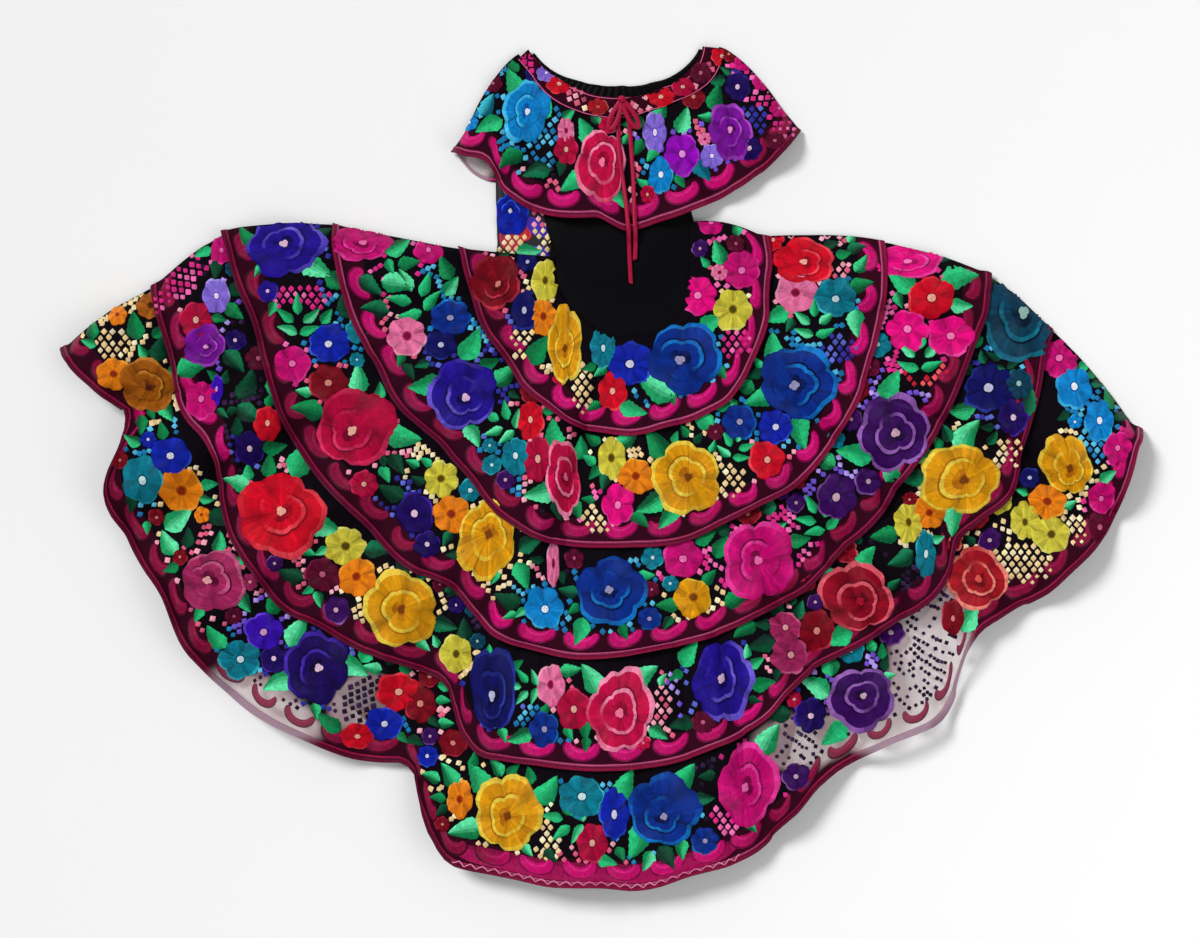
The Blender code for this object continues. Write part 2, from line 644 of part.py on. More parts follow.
def add_loop(name, bearing):
    """Closed ribbon loop that hangs from the knot."""
    angle = math.radians(bearing)
    down = Vector((math.sin(angle), -math.cos(angle), 0))
    across = Vector((-down.y, down.x, 0))
    start = Vector((*KNOT_CENTRE[:2], LOOP_START))
    bm = bmesh.new()
    rings = []
    for step in range(LOOP_STEPS):
        turn = 2 * math.pi * step / LOOP_STEPS
        length = LOOP_LENGTH * 0.5 * (1 - math.cos(turn))
        spread = LOOP_WIDTH * 0.5 * math.sin(turn) * mix(0.35, 1.0, length / LOOP_LENGTH)
        fallen = ease((length / LOOP_LENGTH - LOOP_DROP_STARTS) / (1.0 - LOOP_DROP_STARTS))
        drop = Vector((0, 0, -LOOP_DROP * fallen))
        middle = start + down * length + across * spread + drop
        outward = (across * math.sin(turn) - down * math.cos(turn) * 0.4).normalized()
        ring = []
        for side in range(LOOP_SIDES):
            around = 2 * math.pi * side / LOOP_SIDES
            offset = outward * LOOP_SECTION[0] * math.cos(around)
            offset += Vector((0, 0, LOOP_SECTION[1] * math.sin(around)))
            ring.append(bm.verts.new(middle + offset))
        rings.append(ring)
    for ring, following in zip(rings, rings[1:] + rings[:1]):
        for side in range(LOOP_SIDES):
            other = (side + 1) % LOOP_SIDES
            bm.faces.new((ring[side], following[side], following[other], ring[other]))
    bmesh.ops.recalc_face_normals(bm, faces=bm.faces)
    mesh = bpy.data.meshes.new(name)
    bm.to_mesh(mesh)
    bm.free()
    loop = bpy.data.objects.new(name, mesh)
    loop.hide_render = True
    loop.display_type = "WIRE"
    bpy.context.scene.collection.objects.link(loop)
    return loop


def add_bow():
    """Knot of the drawstring with its two loops."""
    bm = bmesh.new()
    bmesh.ops.create_uvsphere(bm, u_segments=12, v_segments=8, radius=1.0)
    bmesh.ops.scale(bm, vec=KNOT_RADII, verts=bm.verts)
    bmesh.ops.translate(bm, vec=KNOT_CENTRE, verts=bm.verts)
    mesh = bpy.data.meshes.new("drawstring_bow")
    bm.to_mesh(mesh)
    bm.free()
    bow = add_object("drawstring_bow", mesh, COLOURS["ribbon"], 0.4)
    for number, bearing in enumerate(BOW_BEARINGS, 1):
        union = bow.modifiers.new(f"loop_{number}", "BOOLEAN")
        union.operation = "UNION"
        union.solver = "EXACT"
        union.use_self = True
        union.object = add_loop(f"loop_shape_{number}", bearing)


def smooth_route(stops, spacing):
    """Points at an even spacing along a smooth curve through a route's stops."""
    route = [Vector(stop) for stop in stops]
    ends = [2 * route[0] - route[1]] + route + [2 * route[-1] - route[-2]]
    fine, parts = [], 12
    for before, start, end, after in zip(ends, ends[1:], ends[2:], ends[3:]):
        for part_number in range(parts):
            t = part_number / parts
            bend = (2 * before - 5 * start + 4 * end - after) * t * t
            turn = (3 * start - before - 3 * end + after) * t * t * t
            fine.append(start + 0.5 * ((end - before) * t + bend + turn))
    fine.append(route[-1])
    lengths = [0.0]
    for a, b in zip(fine, fine[1:]):
        lengths.append(lengths[-1] + (b - a).length)
    count = round(lengths[-1] / spacing)
    points, at = [], 0
    for k in range(count + 1):
        wanted = lengths[-1] * k / count
        while at < len(fine) - 2 and lengths[at + 1] < wanted:
            at += 1
        share = (wanted - lengths[at]) / (lengths[at + 1] - lengths[at])
        points.append(fine[at].lerp(fine[at + 1], share))
    return points


def add_ribbon_end(name, stops):
    """One free end of the drawstring, lying down the front."""
    points = smooth_route(stops, RIBBON_STEP)
    curve = bpy.data.curves.new(name, "CURVE")
    curve.dimensions = "3D"
    curve.bevel_depth = RIBBON_RADIUS
    curve.bevel_resolution = 2
    curve.use_fill_caps = True
    spline = curve.splines.new("POLY")
    spline.points.add(len(points) - 1)
    for item, point in zip(spline.points, points):
        item.co = (*point, 1.0)
    return add_object(name, curve, COLOURS["ribbon"], 0.4)


def main():
    """Build every piece of the dress."""
    clear_scene()
    for number in range(1, len(TIERS) + 1):
        add_back_tier(number)
        add_front_tier(number)
    add_collar_back()
    add_bodices()
    add_collar_front()
    add_neckband()
    add_bow()
    add_ribbon_end("drawstring_end_short", SHORT_END)
    add_ribbon_end("drawstring_end_long", LONG_END)


main()
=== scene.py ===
"""Chiapaneca dress laid out flat, face up: thin cloth on the forms of the solids, silk embroidery
worked on the cloth, a satin bodice and neckband, and a ribbon drawstring.

X runs to the wearer's left, Y towards the neck and Z up from the surface that the dress lies on.
Plan positions are polar: a bearing in degrees from -Y, positive towards +X, and a reach in metres.
"""

import math
from collections import namedtuple

import bpy
import numpy as np
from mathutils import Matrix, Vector
from mathutils.bvhtree import BVHTree


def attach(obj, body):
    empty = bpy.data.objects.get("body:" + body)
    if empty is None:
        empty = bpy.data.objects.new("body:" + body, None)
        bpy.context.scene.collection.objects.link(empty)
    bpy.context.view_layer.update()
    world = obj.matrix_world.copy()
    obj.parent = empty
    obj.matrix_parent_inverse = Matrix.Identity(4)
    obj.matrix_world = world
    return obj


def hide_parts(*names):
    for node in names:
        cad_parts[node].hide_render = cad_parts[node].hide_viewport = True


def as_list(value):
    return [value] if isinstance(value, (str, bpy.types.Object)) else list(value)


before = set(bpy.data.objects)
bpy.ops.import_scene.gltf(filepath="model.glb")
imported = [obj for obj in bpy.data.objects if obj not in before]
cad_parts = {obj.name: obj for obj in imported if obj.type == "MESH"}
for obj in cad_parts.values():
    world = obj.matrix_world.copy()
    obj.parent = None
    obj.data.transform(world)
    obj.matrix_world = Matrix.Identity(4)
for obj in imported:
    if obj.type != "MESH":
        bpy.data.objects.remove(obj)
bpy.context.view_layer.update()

bl_info = {
    "name": "Chiapaneca dress",
    "version": (1, 0, 0),
    "blender": (4, 5, 0),
    "location": "View3D > Sidebar > Dress",
    "description": "Builds an embroidered dress with a collar flounce and a skirt of five flounces",
    "category": "Add Mesh",
}

TURN = 2 * np.pi
LENGTH = {"unit": "LENGTH", "precision": 4}
COLOUR = {"subtype": "COLOR"}

# Cloth
WALL = 0.0020
SEAM_GAP = 0.00035
LAYER = WALL + SEAM_GAP

# Skirt
WAIST_CENTRE = (0.0476, 0.3698)
FLOUNCE_LAP = 0.020
WAIST_LAP = 0.012
SKIRT_ROLL = 0.028
SKIRT_LOFT = 0.006
GATHER_START = 0.012
Plan = namedtuple("Plan", "bearing waist tier_1 tier_2 tier_3 tier_4 tier_5")
SKIRT_PLAN = [
    Plan(-96, 0.129, 0.31, 0.535, 0.74, 0.855, 1.03), Plan(-86, 0.13, 0.3, 0.52, 0.7, 0.855, 1.03),
    Plan(-80, 0.131, 0.292, 0.51, 0.685, 0.845, 1.03), Plan(-76, 0.131, 0.29, 0.505, 0.68, 0.84, 0.975),
    Plan(-72, 0.132, 0.29, 0.5, 0.68, 0.85, 0.925), Plan(-66, 0.132, 0.29, 0.49, 0.69, 0.815, 1.035),
    Plan(-56, 0.132, 0.285, 0.49, 0.68, 0.865, 1.025), Plan(-46, 0.131, 0.29, 0.475, 0.67, 0.885, 1.065),
    Plan(-36, 0.129, 0.3, 0.485, 0.68, 0.85, 1.045), Plan(-28, 0.131, 0.305, 0.51, 0.665, 0.83, 1.015),
    Plan(-22.5, 0.136, 0.315, 0.52, 0.695, 0.82, 0.975), Plan(-18, 0.138, 0.32, 0.53, 0.725, 0.93, 1.125),
    Plan(-8, 0.136, 0.315, 0.52, 0.72, 0.915, 1.125), Plan(2, 0.134, 0.315, 0.515, 0.71, 0.91, 1.125),
    Plan(11, 0.137, 0.31, 0.515, 0.695, 0.885, 1.09), Plan(16, 0.139, 0.31, 0.51, 0.685, 0.865, 1.055),
    Plan(21, 0.139, 0.31, 0.505, 0.68, 0.82, 0.985), Plan(27, 0.138, 0.31, 0.505, 0.675, 0.8, 0.985),
    Plan(35, 0.138, 0.315, 0.51, 0.65, 0.81, 1.0), Plan(43, 0.136, 0.305, 0.5, 0.645, 0.82, 0.905),
    Plan(50, 0.13, 0.295, 0.495, 0.635, 0.77, 0.95), Plan(58, 0.121, 0.285, 0.485, 0.635, 0.81, 0.985),
    Plan(66, 0.114, 0.275, 0.475, 0.635, 0.78, 0.985), Plan(74, 0.112, 0.265, 0.47, 0.645, 0.77, 0.96),
    Plan(84, 0.11, 0.26, 0.465, 0.65, 0.77, 0.96), Plan(96, 0.109, 0.258, 0.46, 0.65, 0.77, 0.96),
    Plan(110, 0.115, 0.258, 0.46, 0.65, 0.77, 0.96), Plan(124, 0.132, 0.258, 0.46, 0.65, 0.77, 0.96),
]
Edge = namedtuple("Edge", "reach bearing")
SKIRT_LEFT = [
    Edge(0.13, -93.0), Edge(0.31, -94.0), Edge(0.535, -97.0), Edge(0.645, -97.5), Edge(0.74, -93.0),
    Edge(0.855, -86.5), Edge(0.977, -83.0), Edge(1.03, -80.3),
]
SKIRT_RIGHT = [
    Edge(0.13, 123.0), Edge(0.177, 112.0), Edge(0.207, 105.0), Edge(0.261, 99.0), Edge(0.416, 96.0),
    Edge(0.495, 92.5), Edge(0.638, 88.0), Edge(0.763, 81.0), Edge(0.871, 75.4), Edge(0.966, 71.0),
]
SKIRT_SIDES = (SKIRT_LEFT, SKIRT_RIGHT)
Fold = namedtuple("Fold", "left_foot left_top right_top right_foot height starts full ends")
SKIRT_FOLDS = [
    Fold(-89, -81.5, -78, -73, 0.034, 0.66, 0.94, 2.0), Fold(-74, -69.5, -66.5, -61, 0.04, 0.5, 0.8, 2.0),
    Fold(-61, -54, -50, -42, 0.032, 0.42, 0.75, 2.0), Fold(-43, -37, -33, -27, 0.033, 0.36, 0.72, 2.0),
    Fold(-34, -24, -19, -14.5, 0.024, 0.13, 0.34, 0.78),
    Fold(-22.5, -18.5, 10.5, 14.5, 0.038, 0.46, 0.84, 2.0), Fold(-13, -8, -5, 1, 0.012, 0.4, 0.8, 2.0),
    Fold(-9, -2, 8, 20, 0.015, 0.14, 0.34, 0.66), Fold(12.5, 17, 20, 24.5, 0.026, 0.42, 0.76, 2.0),
    Fold(24, 28.5, 32, 37.5, 0.032, 0.28, 0.66, 2.0), Fold(37, 42, 45, 49.5, 0.028, 0.3, 0.62, 2.0),
    Fold(49, 54, 57.5, 63, 0.032, 0.24, 0.62, 2.0), Fold(62, 66.5, 69, 78, 0.036, 0.36, 0.74, 2.0),
    Fold(78, 83, 86, 93, 0.022, 0.22, 0.46, 0.76), Fold(-98, -92, -87, -77, 0.024, 0.2, 0.5, 0.8),
    Fold(-74, -64, -58, -46, 0.016, 0.16, 0.34, 0.52),
]

# Creases in the cloth, finer than the folds: soft ridges that run outward along one bearing, and
# drops, of a negative height, which fall more steeply on their left beside a folded edge
DROP_STEEPNESS = 2.2
Crease = namedtuple("Crease", "bearing slant starts ends width height")
SKIRT_CREASES = [
    Crease(-84, 3, 0.22, 0.52, 0.016, 0.004), Crease(-70, -4, 0.34, 0.62, 0.014, 0.004),
    Crease(-66, 5, 0.62, 0.88, 0.018, 0.005), Crease(-57, 2, 0.2, 0.4, 0.012, 0.003),
    Crease(-47, -3, 0.52, 0.8, 0.016, 0.005), Crease(-40, 4, 0.2, 0.46, 0.013, 0.004),
    Crease(-31, -2, 0.6, 0.95, 0.017, 0.005), Crease(-14, 2, 0.5, 1.12, 0.02, 0.006),
    Crease(-2, 3, 0.62, 1.1, 0.022, 0.006), Crease(5, -2, 0.24, 0.56, 0.012, 0.004),
    Crease(7, 3, 0.8, 1.12, 0.018, 0.006), Crease(22, -2, 0.2, 0.5, 0.013, 0.004),
    Crease(34, 3, 0.46, 0.9, 0.016, 0.005), Crease(41, -3, 0.66, 0.92, 0.014, 0.005),
    Crease(51, 2, 0.24, 0.52, 0.014, 0.004), Crease(60, 4, 0.56, 0.92, 0.016, 0.005),
    Crease(72, -4, 0.26, 0.6, 0.015, 0.004), Crease(80, 3, 0.5, 0.76, 0.014, 0.004),
    Crease(-76, 2, 0.6, 0.96, 0.015, 0.005), Crease(-52, 3, 0.8, 1.02, 0.016, 0.005),
    Crease(-18.6, 9.8, 0.2, 0.68, 0.032, -0.009), Crease(7.4, 0, 0.62, 0.96, 0.034, -0.011),
    Crease(8.4, 4, 0.9, 1.3, 0.034, -0.012), Crease(-49.2, 2, 0.46, 1.1, 0.03, -0.009),
    Crease(-32, -2, 0.44, 1.0, 0.03, -0.009), Crease(33, 2, 0.4, 1.15, 0.03, -0.01),
    Crease(45.6, 1, 0.4, 0.8, 0.026, -0.009), Crease(58, 2, 0.34, 1.1, 0.032, -0.011),
    Crease(70, -2, 0.42, 0.9, 0.036, -0.01),
]

# Flounces: rise between the seams, lift of the hem, and the waves along the hem
Tier = namedtuple("Tier", "puff flare waves wave_height ripple")
TIERS = [
    Tier(0.006, 0.003, 6, 0.009, 0.005), Tier(0.007, 0.003, 8, 0.01, 0.005),
    Tier(0.008, 0.004, 11, 0.011, 0.006), Tier(0.008, 0.004, 13, 0.012, 0.006),
    Tier(0.008, 0.005, 15, 0.014, 0.008),
]
BackShare = namedtuple("BackShare", "bearing share")
BACK_SHARES = [
    BackShare(-96, 0.975), BackShare(-56, 0.97), BackShare(-46, 0.88), BackShare(-36, 0.9),
    BackShare(-26, 0.97), BackShare(10, 0.975), BackShare(18, 0.93), BackShare(28, 0.8),
    BackShare(44, 0.8), BackShare(54, 0.93), BackShare(96, 0.975),
]
BACK_WAIST_ENDS = (-90.0, 117.0)
BACK_INSET = 0.014
BACK_STEP = 0.008
BACK_SETTLE = 0.030
Corner = namedtuple("Corner", "bearing inner outer")
WAIST_CORNER = [
    Corner(-130, 0.18, 0.292), Corner(-124, 0.167, 0.285), Corner(-118, 0.157, 0.268),
    Corner(-111, 0.146, 0.252), Corner(-104, 0.141, 0.242), Corner(-98, 0.141, 0.236),
    Corner(-94, 0.141, 0.236),
]
CORNER_SETTLE = (-106, -97)

# Blouse
NECK_CENTRE = (0.0368, 0.7394)
BAND_LAP = 0.010
BACK_BAND_WIDTH = 0.040
BAND_CROWN = 0.0015
BAND_PUCKER = 0.0009
BAND_PUCKER_WIDTH = 0.0105
BACK_BAND_PUCKER = 0.0005
BACK_BAND_PUCKER_WIDTH = 0.011
COLLAR_ROLL = 0.024
COLLAR_CLEARANCE = 0.0064
COLLAR_FLARE = 0.003
COLLAR_WAVES = 9
COLLAR_WAVE_HEIGHT = 0.007
COLLAR_GATHER_REACH = 0.035
Band = namedtuple("Band", "bearing upper lower back_upper")
NECKBAND = [
    Band(-95, 0.174, 0.207, 0.166), Band(-80, 0.141, 0.17, 0.134), Band(-60, 0.107, 0.152, 0.091),
    Band(-40, 0.089, 0.132, 0.07), Band(-20, 0.08, 0.12, 0.06), Band(0, 0.077, 0.115, 0.055),
    Band(26, 0.082, 0.113, 0.062), Band(48, 0.093, 0.127, 0.073), Band(65, 0.109, 0.154, 0.095),
    Band(75, 0.121, 0.171, 0.109), Band(87, 0.138, 0.181, 0.128), Band(96, 0.147, 0.186, 0.142),
]
BAND_ENDS = (-93.0, 95.5)
BAND_LOWER_ENDS = (-87.0, 93.0)
BACK_BAND_ENDS = (-91.0, 94.0)
BACK_BAND_LOWER_ENDS = (-84.5, 91.5)
BAND_SHOULDER = (45.0, 65.0)
Hem = namedtuple("Hem", "bearing front back")
COLLAR_HEM = [
    Hem(-60, 0.354, 0.346), Hem(-58, 0.35, 0.346), Hem(-55, 0.322, 0.345), Hem(-51, 0.308, 0.343),
    Hem(-46, 0.314, 0.33), Hem(-42, 0.325, 0.306), Hem(-34, 0.326, 0.3), Hem(-25, 0.32, 0.295),
    Hem(-8, 0.295, 0.275), Hem(1, 0.32, 0.28), Hem(12, 0.309, 0.285), Hem(24, 0.308, 0.29),
    Hem(40, 0.318, 0.3), Hem(53, 0.332, 0.315), Hem(66, 0.348, 0.335),
]
COLLAR_LEFT = [
    Edge(0.16, -94.0), Edge(0.186, -91.0), Edge(0.22, -82.0), Edge(0.263, -72.0), Edge(0.307, -63.4),
    Edge(0.355, -58.8),
]
COLLAR_RIGHT = [
    Edge(0.16, 96.0), Edge(0.184, 94.0), Edge(0.211, 88.5), Edge(0.24, 81.4), Edge(0.274, 74.9),
    Edge(0.31, 69.8), Edge(0.348, 65.8),
]
COLLAR_SIDES = (COLLAR_LEFT, COLLAR_RIGHT)
COLLAR_FOLDS = [
    Fold(-66, -57, -50, -44, 0.02, 0.2, 0.3, 2.0), Fold(-43, -37, -34, -29, 0.012, 0.17, 0.28, 2.0),
    Fold(-29, -20, -6, 5, 0.017, 0.14, 0.27, 2.0), Fold(9, 16, 26, 34, 0.015, 0.14, 0.27, 2.0),
    Fold(33, 39, 43, 49, 0.01, 0.17, 0.28, 2.0), Fold(49, 56, 62, 72, 0.02, 0.2, 0.3, 2.0),
]
COLLAR_CREASES = [
    Crease(-48, 4, 0.19, 0.31, 0.009, 0.003), Crease(-24, -3, 0.16, 0.27, 0.008, 0.002),
    Crease(-8, 4, 0.17, 0.3, 0.01, 0.003), Crease(20, -4, 0.15, 0.28, 0.009, 0.003),
    Crease(36, 3, 0.18, 0.31, 0.009, 0.003), Crease(58, -4, 0.2, 0.33, 0.01, 0.003),
]
BODICE_TOP = (-42.0, 42.0)
BODICE_BOTTOM = (-93.0, 116.0)
BODICE_LAP = 0.008
BODICE_BACK_GAP = 0.0008
BODICE_BULGE = 0.006
BODICE_BULGE_STARTS = 0.18
BODICE_BULGE_GROWTH = 0.12
BODICE_BULGE_ENDS = 0.88
BODICE_SIDE_BOW = 0.024
BODICE_BOW_FULL = 0.60
BODICE_BOW_ENDS = 0.88
BODICE_BOW_FADE = 0.20
Pucker = namedtuple("Pucker", "across starts ends width height")
BODICE_PUCKERS = [
    Pucker(0.16, 0.35, 0.95, 0.02, 0.0016), Pucker(0.3, 0.55, 1.0, 0.016, 0.002),
    Pucker(0.43, 0.62, 1.0, 0.013, 0.0014), Pucker(0.58, 0.5, 1.0, 0.018, 0.0018),
    Pucker(0.71, 0.6, 1.0, 0.014, 0.0015), Pucker(0.86, 0.3, 0.95, 0.019, 0.0018),
]

# Ribbon drawstring: stops of its free ends, and the bow
KNOT_CENTRE = (0.0366, 0.6565, 0.0227)
KNOT_RADII = (0.0085, 0.0075, 0.0093)
SHORT_END = [
    (0.043, 0.6503, 0.0181), (0.047, 0.639, 0.0174), (0.0491, 0.6225, 0.0166), (0.051, 0.601, 0.016),
    (0.0528, 0.578, 0.0182), (0.0545, 0.551, 0.0205), (0.0563, 0.5243, 0.0223), (0.0574, 0.4975, 0.024),
    (0.0585, 0.4707, 0.0262), (0.0595, 0.444, 0.0294), (0.0602, 0.43, 0.0314), (0.0606, 0.419, 0.0304),
    (0.0609, 0.41, 0.025), (0.061, 0.4, 0.019), (0.0608, 0.387, 0.0174), (0.06, 0.3707, 0.0168),
]
LONG_END = [
    (0.0304, 0.6496, 0.0181), (0.0312, 0.639, 0.0174), (0.0308, 0.6225, 0.0166), (0.0304, 0.601, 0.0171),
    (0.0313, 0.578, 0.0202), (0.0331, 0.551, 0.0236), (0.0367, 0.5243, 0.0255), (0.0403, 0.4975, 0.0275),
    (0.0438, 0.4707, 0.0297), (0.0464, 0.444, 0.032), (0.048, 0.43, 0.0333), (0.0487, 0.4185, 0.0321),
    (0.0492, 0.409, 0.0262), (0.0495, 0.399, 0.0194), (0.05, 0.386, 0.0174), (0.0506, 0.37, 0.0168),
    (0.0516, 0.35, 0.0155), (0.0527, 0.3282, 0.0142),
]
SHORT_SLANT = 0.0015
LONG_SLANT = -0.0018
STOP_SPACING = 0.0025
RIBBON_SIDES = 14
RIBBON_TWIST = 0.22
LOOP_START = 0.0248
LOOP_LENGTH = 0.056
LOOP_WIDTH = 0.018
LOOP_SECTION = (0.0086, 0.0044)
LOOP_DROP = 0.0010
LOOP_DROP_STARTS = 0.66
BOW_BEARINGS = (-23.0, 30.0)

# The photograph's frame: a pixel's size on the dress, the pixel over the origin, the pixel under the
# camera, and the height of the cloth at which a pixel has its size
PHOTO_WIDTH = 1200
PIXEL = 0.001786
ORIGIN_PX = 601.4
ORIGIN_PY = 469.0
CAMERA_PX = 600.0
CAMERA_PY = 471.0
CLOTH_LEVEL = 0.030

# Stage
FLOOR_HALF = 14.0
FLOOR_CORNERS = ((-1, -1), (1, -1), (1, 1), (-1, 1))
FLOOR_LEVEL = -0.001
KEY_ANGLE = 18
FILL_SIZE = 3.4
KEY_SPOT = (-2.2, 1.9, 3.4)
FILL_SPOT = (2.8, -1.6, 3.2)

# Columns of points across each piece of cloth, and rows of points in each stretch of it
TIER_COLUMNS = (260, 380, 500, 580, 680)
TIER_STEPS = (2, 7, 6, 4)
BACK_TIER_COLUMNS = 160
COLLAR_FRONT_COLUMNS = 300
COLLAR_STEPS = (2, 6, 6, 5)
COLLAR_BACK_FINE = 100
BAND_COLUMNS = 320
BODICE_FINE = 61

# Depth of a bodice panel's strip against its mean depth
BODICE_CUT = 1.35

# Silks: sRGB codes of each one's main, light, dark and heart threads, and the silk of the dots beside it
THREADS = ("main", "light", "dark", "heart")
Shade = namedtuple("Shade", "name threads sparks")
SHADES = [
    Shade("crimson", "b4043a de3264 700228 e1aa96", "pinkdot"),
    Shade("mauve", "a6265e ce608c 5a022e e4a0a0", "pinkdot"),
    Shade("redring", "920622 e45c6c 580216 b01032", "pinkdot"),
    Shade("red", "d60824 f44654 8c041a f0aa96", "pinkdot"),
    Shade("darkred", "7e061a c4324a 4c0210 d78278", "pinkdot"),
    Shade("magenta", "cc0874 ee3ca0 780242 f06eb4", "magentadot"),
    Shade("hotpink", "f00684 ff50b4 aa0460 ff82be", "magentadot"),
    Shade("pink", "ec76a6 fab0c8 ba2c64 780a32", "pinkdot"),
    Shade("pinkring", "cc0a48 fc8cb2 88042c fc78a0", "pinkdot"),
    Shade("coral", "ac1624 f08678 700414 e25c54", "creamdot"),
    Shade("gold", "e29c0c eed046 b06806 783c08", "creamdot"),
    Shade("yellow", "d4ca40 eae47a 9e8a1a 50420e", "creamdot"),
    Shade("orange", "ee8412 fab03c ba4e08 8c280a", "creamdot"),
    Shade("brown", "aa5c0c d68e32 6c3206 501e0a", "creamdot"),
    Shade("navy", "0e1060 2c3eaa 06042e bebedc", "navydot"),
    Shade("royal", "0c22ac 3864e6 040a5c d2d2eb", "bluedot"),
    Shade("blue", "062e8c 0e7acc 020e48 9692b8", "bluedot"),
    Shade("sky", "0688d4 46c4f0 0250a0 e6f0fa", "bluedot"),
    Shade("teal", "067c92 3cbece 023e58 c8e6eb", "bluedot"),
    Shade("deepteal", "063e58 10748e 021a32 96beb4", "bluedot"),
    Shade("night", "1c065c 482cb0 0a022c e2bed8", "navydot"),
    Shade("indigo", "241092 705cdc 0e0450 e6bedc", "navydot"),
    Shade("violet", "3e0cba 7852ec 1e026c dca0d2", "violetdot"),
    Shade("purple", "7c0e9c ba50d4 46045c f096d2", "violetdot"),
    Shade("orchid", "9600ba c446e2 560076 f096e6", "violetdot"),
    Shade("lavender", "8a6ede b8a6f2 583cb0 ebd7fa", "violetdot"),
    Shade("plum", "3a085c 9660b4 1c0232 c8a0b4", "violetdot"),
    Shade("mint", "28c47c 60e6a6 047642 145a3c", "creamdot"),
    Shade("green", "0a8c4e 34cc82 024e2c 0a3c28", "creamdot"),
    Shade("forest", "044a2e 10764c 02281e 0a3c28", "creamdot"),
    Shade("wine", "5c062a 8c1848 2c0216 be5a78", "pinkdot"),
    Shade("maroon", "800a36 961646 40021e", "pinkdot"),
    Shade("border", "c4086a de2082 780242", "pinkdot"),
    Shade("edging", "922254 b8567c 5a082c", "pinkdot"),
    Shade("pinkdot", "e26082 f8a6b8 aa1e46", "pinkdot"),
    Shade("reddot", "be1a34 e85458 78081c", "reddot"),
    Shade("magentadot", "d62882 f46eb4 96145a", "magentadot"),
    Shade("creamdot", "ecce96 fae8be c8965a", "creamdot"),
    Shade("navydot", "2c2e96 5a68cc 1a1c5a", "navydot"),
    Shade("bluedot", "1878b0 56bade 104678", "bluedot"),
    Shade("violetdot", "7050cc b096ec 46288c", "violetdot"),
    Shade("ink", "1e0c28 341e42 0e0414", "ink"),
    Shade("ghost", "b096a6 cebac4 8c6e82", "ink"),
]
# Roses whose inner contours stand out, the small flowers' quieter silks, those of the leaves, the darkest
# silks of the leaves and flowers in shade zones, worked there as painted shade, and those of the skirt's
# back
BOLD_SHADES = ("pinkring", "redring", "coral", "plum", "gold")
LOW_SHADES = ("wine", "darkred", "navy", "plum", "crimson", "teal")
FILLING_LEAVES = ("mint", "green", "green", "forest")
PAINTED_SHADE_LEAVES = ("forest",)
PAINTED_SHADE_FLOWERS = ("night", "deepteal", "wine")
BACK_SHADES = ("crimson", "blue", "gold", "magenta", "violet", "green", "teal", "red")

